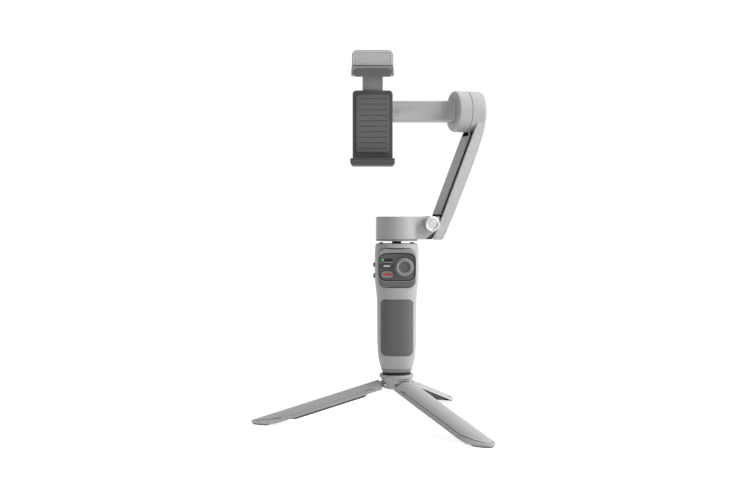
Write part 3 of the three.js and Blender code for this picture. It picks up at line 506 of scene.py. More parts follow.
def moulded(name, colour, roughness, grain=0.35, depth=0.02, wear=0.35, sheen=0.0, coat=0.0):
    """Moulded plastic or rubber: spark-eroded grain, faint flow clouds, handling marks, worn edges."""
    nodes = Nodes(name)
    clouds = nodes.noise(18, 3)
    marks = nodes.noise(2.6, 4, 0.6)
    speckle = nodes.noise(grain, 1.5)
    flowed = nodes.mix(nodes.spread(clouds, 0, 1), shade(colour, 0.975), shade(colour, 1.025))
    specked = nodes.mix(nodes.spread(speckle, 0, 0.45), flowed, shade(colour, 0.87))
    pointed = nodes.new("ShaderNodeNewGeometry").outputs["Pointiness"]
    edges = nodes.times(nodes.spread(pointed, 0, wear, 0.53, 0.62), nodes.spread(marks, 0.2, 1))
    worn = nodes.mix(edges, specked, shade(colour, 1.55))
    uneven = nodes.spread(marks, roughness - 0.06, roughness + 0.07)
    coarse = nodes.bump(nodes.noise(grain * 3.5, 2), depth * 0.8, 0.5)
    values = {
        "Specular IOR Level": 0.4,
        "Sheen Weight": sheen,
        "Sheen Roughness": 0.5,
        "Coat Weight": coat,
        "Coat Roughness": 0.25,
    }
    return nodes.finish(worn, uneven, nodes.bump(speckle, depth, 0.8, coarse), values)


def metal(name, colour, roughness, stretch=(1, 1, 1), depth=0.004):
    """Ground or turned metal: fine marks along one direction, with clouded roughness."""
    nodes = Nodes(name)
    marks = nodes.noise(0.25, 2, 0.6, stretch)
    rough = (roughness - 0.07, roughness + 0.1)
    return nodes.tooled(marks, 3, colour, (0.9, 1.06), (0.4, 0.75), rough, depth)


def turned(name, colour, roughness, place, centre, axis):
    """Turned metal: fine rings about an axis through the centre, both in a local frame."""
    nodes = Nodes(name)
    origin = place @ Vector(centre)
    direction = (place.to_3x3() @ Vector(axis)).normalized()
    across = nodes.vector("CROSS_PRODUCT", nodes.vector("SUBTRACT", nodes.place, origin), direction)
    rings = nodes.new("ShaderNodeTexNoise", noise_dimensions="1D")
    rings.inputs["Scale"].default_value = 1 / (0.12 * MM)
    rings.inputs["Detail"].default_value = 3
    nodes.link(nodes.vector("LENGTH", across), rings.inputs["W"])
    rough = (roughness - 0.06, roughness + 0.08)
    marks = rings.outputs["Fac"]
    return nodes.tooled(marks, 2.2, colour, (0.94, 1.04), (0.35, 0.85), rough, 0.006)


def glowing(name, colour, strength):
    """A lit lens: an emitting body with a clouded gloss."""
    nodes = Nodes(name)
    clouds = nodes.noise(0.5, 2)
    tint = nodes.mix(nodes.spread(clouds, 0, 1), shade(colour, 0.85), colour)
    nodes.link(tint, nodes.shader.inputs["Emission Color"])
    uneven = nodes.spread(clouds, 0.25, 0.4)
    return nodes.finish(tint, uneven, None, {"Emission Strength": strength})


LIGHT = moulded("light_moulding", (0.36, 0.363, 0.366), 0.46)
GREY = moulded("grey_moulding", (0.21, 0.213, 0.217), 0.5)
DARK = moulded("dark_moulding", (0.07, 0.072, 0.075), 0.52, 0.3, 0.03)
PANEL = moulded("panel_moulding", (0.092, 0.094, 0.097), 0.55, 0.3, 0.03)
TRIM = moulded("trim_moulding", (0.27, 0.273, 0.276), 0.46)
# Painted shade: a slightly darker copy of the light moulding for the arm's set-back cover.
COVER_SHADED_COPY = moulded("cover_moulding_painted_shade", (0.34, 0.343, 0.346), 0.5)
RUBBER = moulded("soft_rubber", (0.105, 0.107, 0.11), 0.72, 0.25, 0.035, 0.25, 0.15)
CAP = moulded("cap_rubber", (0.2, 0.203, 0.206), 0.6, 0.25, 0.03, 0.3, 0.1)
DISH = moulded("dish_rubber", (0.11, 0.112, 0.115), 0.62, 0.25, 0.03, 0.2, 0.1)
# Painted highlight: a light rubber for the joystick's thin step ring.
CAP_RING_PAINTED_HIGHLIGHT = moulded("cap_ring_painted_highlight", (0.42, 0.423, 0.426), 0.5, 0.25, 0.01, 0.1)
BLACK = moulded("black_moulding", (0.012, 0.012, 0.013), 0.6, 0.3, 0.03, 0.2)
DIFFUSER = moulded("milky_diffuser", (0.44, 0.44, 0.44), 0.4, 0.6, 0.012, 0.05)
FRAME_WHITE = moulded("light_frame", (0.56, 0.562, 0.564), 0.4, 0.3, 0.012, 0.1)
RED = moulded("red_mark", (0.55, 0.012, 0.014), 0.4, 0.3, 0.01, 0.1)
MARK = moulded("pale_mark", (0.55, 0.53, 0.54), 0.5, 0.2, 0.005, 0.05)
LENS = moulded("dark_lens", (0.012, 0.016, 0.015), 0.25, 0.3, 0.003, 0.05)
BOARD = moulded("circuit_board", (0.015, 0.1, 0.045), 0.45, 0.5, 0.02, 0.1)
WRAP = moulded("battery_wrap", (0.03, 0.09, 0.24), 0.35, 0.8, 0.008, 0.15)
STEEL = metal("ground_steel", (0.45, 0.46, 0.47), 0.32, (1, 1, 6))
COPPER = metal("copper_winding", (0.5, 0.22, 0.09), 0.38, (1, 1, 8), 0.03)
BRASS = metal("turned_brass", (0.55, 0.42, 0.16), 0.3, (1, 1, 6))
SILVER = turned("turned_aluminium", (0.7, 0.7, 0.71), 0.42, ARM, (0, 0, 0), (0, 1, 0))
GREEN_GLOW = glowing("green_lens", (0.02, 0.75, 0.12), 0.6)

SLOT_LOOKS = {
    "light_plastic": LIGHT,
    "grey_plastic": GREY,
    "dark_plastic": DARK,
    "rubber": RUBBER,
    "black": BLACK,
    "silver": SILVER,
    "steel": STEEL,
    "copper": COPPER,
    "brass": BRASS,
    "board": BOARD,
    "battery_wrap": WRAP,
    "diffuser": DIFFUSER,
}


def dress_cad_nodes():
    """Every CAD node that stays in view takes the finish of its slot."""
    for node, slot in SLOT_OF.items():
        materials = frame["nodes"][node].data.materials
        materials.clear()
        materials.append(SLOT_LOOKS[slot])


# ------------------------------------------------------------------ tripod
LEG_TAPER = 26  # length of the leg's narrowing tip
LEG_WALL = 2
CREASE = 2.1  # how far the crease line lies from the leg's edge
CREASE_WIDTH = 0.55
CREASE_DEPTH = 0.35
KNUCKLE_RADIUS = 3.2
KNUCKLE_HALF = 4.4
RIB_LOW = -3.9  # the ribs' lower edge, below the leg's pivot plane
RIB_HALF = 9.2


def leg_plan(high, distance, root=4):
    """The leg seen from above, moved inwards by a distance."""
    side = high.y - distance
    straight = high.x - LEG_TAPER
    tip = high.x - distance
    far = bezier((straight, -side), (tip - 9, -side + 2.5), (tip, -5.5), (tip, 0), 14)
    near = [(x, -y) for x, y in reversed(far[:-1])]
    return [(root + distance, -side), *far, *near, (root + distance, side)]


def crease_plan(high, distance):
    """The crease line seen from above: it follows the leg's edge and runs out at the root."""
    plan = leg_plan(high, distance, 16)
    side = high.y - distance
    run_out = bezier((9, -high.y - 2), (9.6, -side - 0.6), (12, -side), (16, -side), 10)
    mirrored = [(x, -y) for x, y in reversed(run_out)]
    return [(-30, -high.y - 2), *run_out[:-1], *plan, *mirrored[1:], (-30, high.y + 2)]


def along_leg(outline, start, end, spacing=4):
    """A section drawn out along the leg, with rings often enough for even shading."""
    count = max(1, round((end - start) / spacing))
    stations = [start + (end - start) * k / count for k in range(count + 1)]
    return loft([[(x, u, v) for u, v in outline] for x in stations])


def floor_box(height):
    """All that lies below a height above the floor, in a leg's sloping frame."""
    pivot = joint_place("leg_1_fold").z / MM
    box = block(-40, 160, -30, 30, -60, height - pivot)
    box.data.transform(Matrix.Rotation(-LEG_SLOPE, 4, "Y"))
    return box


def leg_lattice(low, high):
    """Crossed braces on a spine, which stiffen the leg from below."""
    spine = block(14, 86, -0.7, 0.7, low, high)
    braces = []
    for station in (29, 47, 65):
        for lean in (-1, 1):
            brace = block(-13, 13, -0.55, 0.55, low, high)
            turn = Matrix.Rotation(lean * math.radians(48), 4, "Z")
            brace.data.transform(Matrix.Translation((station, 0, 0)) @ turn)
            braces.append(brace)
    return join(spine, *braces)


def build_leg(number):
    place = LEGS[number]
    _, high = box_in(place, f"leg_{number}")
    pivot_radius = (joint_place(f"leg_{number}_fold") - SCREW).xy.length / MM
    radius = high.z + pivot_radius
    spread = math.degrees(math.asin(high.y / radius))

    def sector(size, angle):
        return arc((0, -pivot_radius), size, 90 - angle, 90 + angle, 48)

    shell = keep(
        along_leg(sector(radius, spread), 0, high.x), prism("z", leg_plan(high, 0), -20, 20)
    )
    hollow = keep(
        prism("x", sector(radius - LEG_WALL, spread - 5), 0, high.x - 7),
        prism("z", leg_plan(high, LEG_WALL), -20, 20),
    )
    mouth = keep(
        prism("z", leg_plan(high, LEG_WALL), -20, -1.5), block(0, high.x - 18, -20, 20, -20, 0)
    )
    line = crease_plan(high, CREASE)
    crease = keep(
        cut(prism("z", line, -20, 20), prism("z", inset(line, CREASE_WIDTH), -21, 21)),
        cut(
            prism("x", sector(radius + 2, 80), -2, high.x + 5),
            prism("x", sector(radius - CREASE_DEPTH, 85), -5, 160),
        ),
    )
    cut(shell, hollow, mouth)
    lattice = leg_lattice(-1.4, 4)
    keep(
        lattice,
        prism("x", sector(radius - 1, spread), 0, high.x),
        prism("z", leg_plan(high, 1), -20, 20),
    )
    knuckle = join(
        rod("y", KNUCKLE_RADIUS, -KNUCKLE_HALF, KNUCKLE_HALF, edge=0.4),
        block(0, 6.4, -KNUCKLE_HALF, KNUCKLE_HALF, -1.6, 3),
    )
    join(shell, lattice, knuckle)
    cut(shell, rod("y", 1.6, -6, 6), crease, floor_box(1.2))
    add(f"leg_{number}_shell", shell, place, f"leg_{number}", [LIGHT, DARK], 0.2)

    # Painted shade: the leg's inner faces and the faces down in its crease take the dark moulding, standing in for
    # the shade inside the hollow leg and in the crease.
    def is_dark_part_or_painted_shade(centre, _):
        depth = radius - math.hypot(centre.y, centre.z + pivot_radius)
        in_crease = 0.1 < depth < CREASE_DEPTH + 0.05 and centre.z > 0
        return in_crease or depth > LEG_WALL - 0.3 and centre.x > 12

    paint(shell, place, is_dark_part_or_painted_shade)

    # Painted shade: the ribs under the leg take the dark moulding, standing in for the shade beneath the light
    # plastic leg.
    rails = [block(14, 90, y - 0.4, y + 0.4, RIB_LOW, -1) for y in (-RIB_HALF, RIB_HALF)]
    ribs = join(leg_lattice(RIB_LOW, -1), *rails)
    side_view = [(14, -0.9), (20, RIB_LOW), (80, RIB_LOW), (90, -0.9)]
    keep(ribs, prism("y", side_view, -RIB_HALF - 0.3, RIB_HALF + 0.3))
    add_detail(f"leg_{number}_ribs", ribs, place, f"leg_{number}", DARK, 0.15)

    sole = keep(
        prism("x", sector(radius - 0.4, spread - 2), 90, high.x),
        prism("z", leg_plan(high, 0.8), -20, 20),
        floor_box(1.1),
    )
    cut(sole, floor_box(0))
    add(f"leg_{number}_sole", sole, place, f"leg_foot_{number}", RUBBER, 0.15)


def build_hub():
    low, high = box_in(HANDLE, "tripod_hub")
    radius = high.x
    profile = filleted(
        [
            (0, low.z), (radius - 3.5, low.z), (radius - 1.6, high.z - 4),
            (radius - 0.9, high.z - 3.1), (radius, high.z - 2.5), (radius, high.z), (0, high.z),
        ],
        [0, 0.8, 0.5, 0.5, 0.4, 0.7, 0],
        4,
        closed=False,
    )
    hub = revolve("z", profile, segments=128)
    pivot = joint_place("leg_1_fold")
    pivot_radius, pivot_height = (pivot - SCREW).xy.length / MM, pivot.z / MM
    cutters = [rod("z", 3.5, 20, 50), rod("z", 4.9, 20, low.z + 4.2)]
    room, side = KNUCKLE_RADIUS + 0.6, KNUCKLE_HALF + GAP
    for number in LEGS:
        slot = join(
            rod("y", room, -side, side, (pivot_radius, pivot_height)),
            block(pivot_radius - 2, 30, -side, side, 20, pivot_height + room),
        )
        bore = rod("y", 1.55, -9, 9, (pivot_radius, pivot_height))
        turn = Matrix.Rotation(yaw_of(f"leg_{number}_fold"), 4, "Z")
        for piece in (slot, bore):
            piece.data.transform(turn)
        cutters += [slot, bore]
    cut(hub, *cutters)
    add("hub_body", hub, HANDLE, "tripod_hub", LIGHT, 0.25)

    low, high = box_in(HANDLE, "hub_washer")
    washer = ring("z", 3.7, high.x, low.z, high.z, edge=0.5)
    add("hub_ring", washer, HANDLE, "hub_washer", BLACK)


# ------------------------------------------------------------------ handle
SQUARENESS = 2.5  # exponent of the handle's rounded-square section
HANDLE_WALL = 1.8
USB_MIDDLE = 68


def handle_profile():
    """(half width, height) knots of the handle's side, felt on the CAD shells."""
    nodes = ("handle_base_plate", "handle_front_shell")
    low, high = box_in(HANDLE, *nodes)
    trees = []
    for node in nodes:
        data = frame["nodes"][node].data
        points = [HANDLE.inverted() @ v.co for v in data.vertices]
        trees.append(BVHTree.FromPolygons(points, [tuple(p.vertices) for p in data.polygons]))
    knots = []
    count = 16
    for k in range(count + 1):
        height = low.z + 0.2 + (high.z - low.z - 0.4) * k / count
        hits = [tree.ray_cast(Vector((40, 0.5, height)), Vector((-1, 0, 0)))[0] for tree in trees]
        widths = [hit.x for hit in hits if hit]
        if widths:
            knots.append((max(widths), height))
    knots[0] = (knots[0][0], low.z)
    knots[-1] = (knots[-1][0], high.z)
    return smooth_curve(knots, 5)


PROFILE = handle_profile()


def half_width(height):
    for (x0, z0), (x1, z1) in zip(PROFILE, PROFILE[1:]):
        if z0 <= height <= z1:
            return x0 + (x1 - x0) * (height - z0) / (z1 - z0)
    return PROFILE[0][0] if height < PROFILE[0][1] else PROFILE[-1][0]


def rounded_square(size, x):
    """How far the section's edge is from the X axis, at x."""
    return size * max(0.0, 1 - abs(x / size) ** SQUARENESS) ** (1 / SQUARENESS)


def handle_solid(distance, bottom, top, edges=(0, 0), segments=144):
    """The handle between two heights, moved inwards, with its end edges rounded."""
    ends = rounded_ends(bottom, top, edges, 5)
    inner = [
        (0, height)
        for _, height in PROFILE
        if bottom + edges[0] + 0.3 < height < top - edges[1] - 0.3
    ]
    half = len(ends) // 2
    rings = []
    for amount, height in [*ends[:half], *inner, *ends[half:]]:
        size = half_width(height) - distance - amount
        ring_points = []
        for k in range(segments):
            angle = 2 * math.pi * k / segments
            c, s = math.cos(angle), math.sin(angle)
            stretch = 1 / (abs(c) ** SQUARENESS + abs(s) ** SQUARENESS) ** (1 / SQUARENESS)
            ring_points.append((size * stretch * c, size * stretch * s, height))
        rings.append(ring_points)
    return loft(rings)


PAD_LOW, PAD_HIGH = box_in(HANDLE, "grip_pad")
PAD_CORNER = 4


def pad_outline(distance, steps=10, divisions=20):
    """The grip pad's outline, moved inwards, with its straight sides divided too."""
    corner = max(0.05, PAD_CORNER - distance)
    x0, x1 = PAD_LOW.x + distance + corner, PAD_HIGH.x - distance - corner
    z0, z1 = PAD_LOW.z + distance + corner, PAD_HIGH.z - distance - corner
    centres = [(x0, z0), (x1, z0), (x1, z1), (x0, z1)]
    arcs = [arc(centre, corner, a, a + 90, steps) for centre, a in zip(centres, (180, 270, 360, 450))]
    points = []
    for here, after in zip(arcs, arcs[1:] + arcs[:1]):
        points += here
        start, end = Vector(here[-1]), Vector(after[0])
        points += [tuple(start.lerp(end, k / divisions)) for k in range(1, divisions)]
    return points


def bezel_outline(distance):
    low, high = box_in(HANDLE, "control_bezel")
    return rounded_rect(
        low.x + distance, high.x - distance, low.z + distance, high.z - distance, 6 - distance, 12
    )


def build_handle():
    low, high = box_in(HANDLE, "handle_front_shell", "handle_rear_shell")
    split = box_in(HANDLE, "handle_rear_shell")[0].y - 0.05
    front = handle_solid(0, low.z, high.z, (0.3, 1.3))
    rear = handle_solid(0, low.z, high.z, (0.3, 1.3))
    for shell in (front, rear):
        cut(shell, handle_solid(HANDLE_WALL, low.z - 1, high.z - 2.6), rod("z", 3.8, 140, 160))
    keep(front, block(-30, 30, -30, split, 40, 160))
    keep(rear, block(-30, 30, split + 0.1, 30, 40, 160))

    recess = cut(prism("y", pad_outline(-0.15), -30, -6), handle_solid(1, low.z - 2, high.z + 2))
    room = Vector((0.4, 0.4, 0.4))
    low, high = box_in(HANDLE, "zoom_rocker")
    low, high = low - room, high + room
    rocker_slot = block(-25, -10, low.y, high.y, low.z, high.z)
    cut(front, prism("y", bezel_outline(-0.2), -30, -6), recess, rocker_slot)
    add("front_shell", front, HANDLE, "handle_front_shell", LIGHT, 0.2, 40)

    low, high = box_in(HANDLE, "trigger")
    trigger_slot = prism("y", rounded_rect(-6.3, 6.3, low.z - 0.5, high.z + 0.8, 1.2), 8, 30)
    usb_slot = prism("y", rect_about(0, USB_MIDDLE, 4.8, 2, 1.95), 8, 30)
    cut(rear, trigger_slot, usb_slot)
    add("rear_shell", rear, HANDLE, "handle_rear_shell", LIGHT, 0.2, 40)

    low, high = box_in(HANDLE, "handle_base_plate")
    plate_top = box_in(HANDLE, "handle_front_shell")[0].z - 0.1
    plate = handle_solid(0.05, low.z, plate_top, (0.5, 0.3))
    join(plate, handle_solid(HANDLE_WALL + 0.2, plate_top - 0.5, high.z))
    cut(plate, rod("z", 5, 40, 60))
    add("base_plate", plate, HANDLE, "handle_base_plate", GREY)

    pin_low, pin_high = box_in(HANDLE, "trigger_pin")
    lug_middle = (pin_low + pin_high) / 2
    for name, x in (("trigger_lug_left", -9.4), ("trigger_lug_right", 6.4)):
        lug = block(x, x + 3, 12.6, 16.6, 138.6, 144.4)
        cut(lug, rod("x", 1.3, -12, 12, (lug_middle.y, lug_middle.z)))
        add_detail(name, lug, HANDLE, "handle_rear_shell", LIGHT, 0.3)


def build_grip_pad():
    """A soft pad laid round the handle's front, slightly crowned over the shell."""
    proud, edge, depth = 0.55, 0.9, 0.9
    outlines = []
    steps = 5
    for k in range(steps + 1):
        a = math.pi / 2 * k / steps
        outlines.append((edge * (1 - math.cos(a)), proud - edge * (1 - math.sin(a))))
    half = (PAD_HIGH.x - PAD_LOW.x) / 2
    count = 14
    for k in range(1, count + 1):
        distance = edge + (half - 0.1 - edge) * k / count
        outlines.append((distance, proud))
    rings = [[(x, -rounded_square(half_width(z), x) + depth, z) for x, z in pad_outline(0)]]
    for distance, rise in outlines:
        rings.append(
            [(x, -rounded_square(half_width(z), x) - rise, z) for x, z in pad_outline(distance)]
        )
    pad = loft(rings)
    add("grip_pad_skin", pad, HANDLE, "grip_pad", RUBBER)


# ------------------------------------------------------------------ control head
def pill(node, grow=0.0):
    """The outline of a long button with round ends."""
    low, high = box_in(HANDLE, node)
    radius = (high.z - low.z) / 2 + grow
    return rounded_rect(low.x - grow, high.x + grow, low.z - grow, high.z + grow, radius * 0.995, 12)


def panel_outline(distance):
    """The panel: a rounded square whose top edge is gently arched."""
    low, high = box_in(HANDLE, "control_panel")
    half, bottom, top = high.x - distance, low.z + distance, high.z - distance
    corner, arch = 5.5 - distance, 0.9
    start = half - corner
    slope = math.atan(2 * arch * start / half**2)
    end = start + corner * math.sin(slope)

    def crown(x):
        return top - arch * (x / half) ** 2

    centre = crown(end) - corner * math.cos(slope)
    turn = 90 - math.degrees(slope)
    across = [end * (1 - k / 8) for k in range(1, 16)]
    return [
        *arc((-start, bottom + corner), corner, 180, 270, 10),
        *arc((start, bottom + corner), corner, 270, 360, 10),
        *arc((start, centre), corner, 0, turn, 10), *[(x, crown(x)) for x in across],
        *arc((-start, centre), corner, 180 - turn, 180, 10),
    ]


def control_holes():
    stick = joint_place("joystick_tilt")
    stick_centre = HANDLE.inverted() @ stick
    low, high = box_in(HANDLE, "led_light_pipe")
    strip = rounded_rect(low.x - 0.1, high.x + 0.1, low.z - 0.1, high.z + 0.1, 0.8)
    return [
        prism("y", pill("mode_button", 0.3), -30, 0),
        prism("y", pill("record_button", 0.3), -30, 0),
        prism("y", strip, -30, 0),
        rod("y", 5.4, -30, 0, (stick_centre.x, stick_centre.z)),
    ]


def build_controls():
    low, high = box_in(HANDLE, "control_bezel")
    rim = low.y
    panel_low, panel_high = box_in(HANDLE, "control_panel")
    count = len(rounded_rect(0, 1, 0, 1, 0.1, 12))

    def level(side, bottom, top, radius, depth):
        outline = rounded_rect(low.x + side, high.x - side, low.z + bottom, high.z - top, radius, 12)
        return [(x, depth, z) for x, z in outline[:count]]

    bezel = loft(
        [
            level(0, 0, 0, 6, high.y),
            level(0, 0, 0, 6, rim + 3.6),
            level(0.05, 0.35, 0.5, 6, rim + 2.6),
            level(0.15, 4.7, 1.3, 6, rim + 0.45),
            level(0.3, 5.3, 2.9, 6, rim + 0.08),
            level(0.5, 5.6, 3.4, 6, rim),
            level(0.75, 5.9, 3.8, 6, rim + 0.06),
        ]
    )
    cut(bezel, prism("y", panel_outline(-0.55), -30, panel_high.y + 0.1), *control_holes())
    add("bezel_rim", bezel, HANDLE, "control_bezel", [TRIM, PANEL], 0.12)

    # Painted shade: faces turned downwards take the dark panel moulding, standing in for the shade under the
    # bezel. Inside the panel's outline the dark is the panel's own colour.
    def is_dark_part_or_painted_shade(centre, normal):
        inside = abs(centre.x) < panel_high.x and panel_low.z < centre.z < panel_high.z
        return normal.z < -0.3 or inside and centre.y > rim + 0.3

    paint(bezel, HANDLE, is_dark_part_or_painted_shade)

    panel = prism("y", panel_outline(0), panel_low.y, panel_high.y, (0.5, 0), 4)
    cut(panel, *control_holes())
    add("panel_face", panel, HANDLE, "control_panel", PANEL, 0.1)

    for node, look, mark, mark_slot, reach, half in (
        ("mode_button", DARK, MARK, "light_plastic", 2.7, 0.62),
        ("record_button", GREY, RED, "grey_plastic", 3.5, 0.85),
    ):
        low, high = box_in(HANDLE, node)
        button = prism("y", pill(node), low.y, high.y, (0.45, 0), 4)
        add(f"{node}_cap", button, HANDLE, node, look)
        middle = (low + high) / 2
        outline = rect_about(middle.x, middle.z, reach, half, half * 0.9)
        bar = prism("y", outline, low.y - 0.12, low.y + 0.5, (0.1, 0))
        add_detail(f"{node}_mark", bar, HANDLE, node, mark)

    stick = HANDLE.inverted() @ joint_place("joystick_tilt")
    low, high = box_in(HANDLE, "joystick_cap")
    radius = (high.x - low.x) / 2
    profile = [
        (0, low.y + 1.35), (radius - 2.7, low.y + 1.15), (radius - 2.0, low.y + 0.3),
        (radius - 1.7, low.y), (radius - 1.3, low.y + 0.06), (radius - 0.7, low.y + 0.6),
        (radius - 0.15, low.y + 1.25), (radius, low.y + 1.9), (radius - 0.5, low.y + 2.3),
        (radius - 1.6, low.y + 2.5), (2, low.y + 2.5), (2, high.y), (0, high.y),
    ]
    cap = revolve("y", filleted(profile, 0.5, 4, closed=False), (stick.x, stick.z))
    add("joystick_dish", cap, HANDLE, "joystick_cap", [CAP, DISH])
    dish = radius - 2.45
    paint(cap, HANDLE, lambda centre, _: math.hypot(centre.x - stick.x, centre.z - stick.z) < dish)
    middle = (stick.x, stick.z)
    # Painted highlight: the thin step ring round the dish takes a much lighter rubber than the cap, standing in
    # for the bright ring of light on its lip.
    highlight_step_ring = ring("y", radius - 2.6, radius - 2.1, low.y + 0.3, low.y + 1.6, middle, 0.15)
    add_detail("joystick_step", highlight_step_ring, HANDLE, "joystick_cap", CAP_RING_PAINTED_HIGHLIGHT)

    low, high = box_in(HANDLE, "led_light_pipe")
    pipe = prism("y", rounded_rect(low.x, high.x, low.z, high.z, 0.7), low.y + 0.15, high.y)
    add("led_window", pipe, HANDLE, "led_light_pipe", LENS)
    count = 4
    pitch = (high.x - low.x) / count
    for k in range(count):
        x = low.x + pitch * (k + 0.5)
        middle = (low.z + high.z) / 2
        half = 0.62 if k == 0 else 0.5
        lens = prism("y", rect_about(x, middle, half, half, 0.2), low.y, low.y + 0.6)
        look = GREEN_GLOW if k == 0 else BLACK
        add_detail(f"led_lens_{k + 1}", lens, HANDLE, "led_light_pipe", look, 0.08)
        outline = rect_about(x, low.z - 1.05, 0.2 + 0.12 * k, 0.22, 0.2)
        mark = prism("y", outline, panel_low.y - 0.03, panel_low.y + 0.3)
        add_detail(f"led_mark_{k + 1}", mark, HANDLE, "handle_front_shell", MARK)

    low, high = box_in(HANDLE, "zoom_rocker")
    middle = (low + high) / 2
    rocker = block(high.x - 3.3, high.x, low.y, high.y, low.z, high.z)
    for side in (-1, 1):
        nose_z = middle.z + side * 4.65
        outline = rounded_rect(low.x, high.x - 0.6, nose_z - 2.1, nose_z + 2.1, 1.3)
        join(rocker, prism("y", outline, low.y, high.y, (0.4, 0.4)))
    add("rocker_keys", rocker, HANDLE, "zoom_rocker", DARK, 0.2)


def build_trigger():
    """A curved finger lever at the back, with three shallow grooves."""
    pivot = HANDLE.inverted() @ joint_place("trigger_pull")
    low, high = box_in(HANDLE, "trigger")
    outline = [
        (-2.1, 2.2), (1.6, 2.2), *bezier((1.6, 2.2), (3.2, -0.8), (4.2, -4.6), (4.6, -9))[1:],
        *bezier((4.6, -9), (5, -13.6), (5.7, -17.6), (7.4, -21.5))[1:], (4.4, -22),
        *bezier((4.4, -22), (2.4, -16.6), (0.3, -11.2), (-2.1, -6))[1:],
    ]
    half = (high.x - low.x) / 2
    placed = [(pivot.y + y, pivot.z + z) for y, z in outline]
    lever = prism("x", placed, -half, half, (0.9, 0.9), 4)
    grooves = [
        rod("x", 0.5, -10, 10, (pivot.y + 5.25 + 0.13 * k * k, pivot.z - 10 - 3 * k))
        for k in range(3)
    ]
    cut(lever, rod("x", 1.55, -12, 12, (pivot.y, pivot.z)), *grooves)
    add("trigger_lever", lever, HANDLE, "trigger", DARK, 0.2)


# ------------------------------------------------------------------ pan motor
def build_pan():
    low, high = box_in(PAN, "pan_motor_housing")
    base_low, base_high = box_in(PAN, "pan_motor_bottom")
    pivot = PAN.inverted() @ joint_place("arm_fold")
    radius = base_high.x
    bottom, top = low.z, high.z
    ear = 11.7
    slot_start = 18.4
    slot_half = 7.5
    blend = 3
    # Plan: the motor's circle runs into the boss through a hollow fillet on each side.
    reach = math.sqrt((radius + blend) ** 2 - (ear + blend) ** 2)
    turn = math.degrees(math.atan2(ear + blend, reach))
    plan = [
        *arc((0, 0), radius, turn, 360 - turn, 90),
        *arc((reach, -ear - blend), blend, 180 - turn, 90, 8), (high.x + 4, -ear),
        (high.x + 4, ear), *arc((reach, ear + blend), blend, -90, turn - 180, 8),
    ]
    housing = prism("z", plan, bottom, top, (0.5, 1.2), 5)
    face = [
        (40, bottom - 5), (pivot.x - 3.8, bottom - 5), (pivot.x - 3.8, bottom + 0.2),
        (pivot.x + 5.1, pivot.z - 5.5), (high.x, top - 1.4), (high.x - 1.1, top),
        (high.x - 2.5, top + 3), (60, top + 3), (60, bottom - 5),
    ]
    cut(housing, prism("y", filleted(face, [0, 0, 1, 1, 1, 1, 0, 0, 0], 3), -30, 30))
    cut(
        housing,
        block(slot_start, 60, -slot_half, slot_half, 140, 190),
        rod("y", 2.8, -20, 20, (pivot.x, pivot.z)),
        rod("z", radius - 1.8, bottom - 3, top - 5),
        rod("z", 6.9, top - 6, top - 2.6),
    )
    groove = ring("z", radius - 2.7, radius - 2.35, top - 0.35, top + 1, edge=0)
    cut(housing, groove)
    add("pan_housing", housing, PAN, "pan_motor_housing", LIGHT, 0.3)

    skirt = ring("z", 4.2, radius, base_low.z, base_low.z + 1.4, edge=0.4)
    add("pan_skirt", skirt, PAN, "pan_motor_bottom", GREY)

    low, high = box_in(HANDLE, "pan_shaft")
    flange = low.z + 3.4
    profile = [(0, low.z), (8, low.z), (8, flange), (3.2, flange), (3.2, high.z), (0, high.z)]
    shaft = revolve("z", filleted(profile, 0.4, 3, closed=False))
    add("pan_axle", shaft, HANDLE, "pan_shaft", BLACK)

    handle_top = box_in(HANDLE, "handle_front_shell")[1].z
    collar = ring("z", 3.3, 3.9, handle_top - 2, base_low.z + 1, edge=0.15)
    add_detail("pan_collar", collar, HANDLE, "pan_shaft", GREY)
    # Painted shade: two black stops at the left and right ends of the gap under the motor, black to stand in for
    # the shade at the gap's ends.
    for side, name in ((0, "pan_stop_right"), (180, "pan_stop_left")):
        outline = [
            *arc((0, 0), 14.8, side - 30, side + 30, 16),
            *arc((0, 0), 13.4, side + 30, side - 30, 16),
        ]
        stop = prism("z", outline, handle_top - 0.3, handle_top + 1, (0, 0.4))
        add_detail(name, stop, HANDLE, "pan_shaft", BLACK)

    low, high = box_in(ARM, "fold_knob")
    radius = high.x
    face_depth = low.y

    def knurl(angle, r, height):
        on_side = r > radius - 0.3 and height > face_depth + 0.9
        return r - 0.16 * abs(math.sin(angle * 30)) if on_side else r

    profile = [
        (0, low.y + 0.35), (3.3, low.y + 0.35), (3.6, low.y + 0.75), (4, low.y + 0.75),
        (4.4, low.y + 0.1), (5.6, low.y), (radius - 0.25, low.y + 0.35), (radius, low.y + 1),
        (radius, high.y - 1.5), (radius - 0.5, high.y - 1), (4.4, high.y - 1), (4.4, high.y),
        (2.7, high.y), (2.7, low.y + 2.4), (0, low.y + 2.4),
    ]
    knob = revolve("y", filleted(profile, 0.2, 3, closed=False), (0, 0), 240, knurl)
    add("knob_body", knob, ARM, "fold_knob", SILVER)

    low, high = box_in(ARM, "fold_pin")
    socket = rod("y", 2, high.y - 0.9, high.y + 2, segments=6)
    head = cut(rod("y", 4.2, high.y - 1.6, high.y, edge=0.35), socket)
    pin = join(rod("y", 2.4, low.y, high.y - 1, edge=0.3), head)
    add("hinge_pin", pin, ARM, "fold_pin", STEEL, 0.1)


# ------------------------------------------------------------------ folding arm
ARM_LEAN = math.radians(21.5)
ARM_INNER = 7.1  # from the fold pivot to the flanges' inner edge, square to it
ARM_WEB = 2.2
OUTER_EDGE = [(12.4, -9.5), (21.2, 10.2), (37.7, 50.6), (47.6, 79)]


def inner_edge(height, offset):
    return (offset + height * math.sin(ARM_LEAN)) / math.cos(ARM_LEAN)


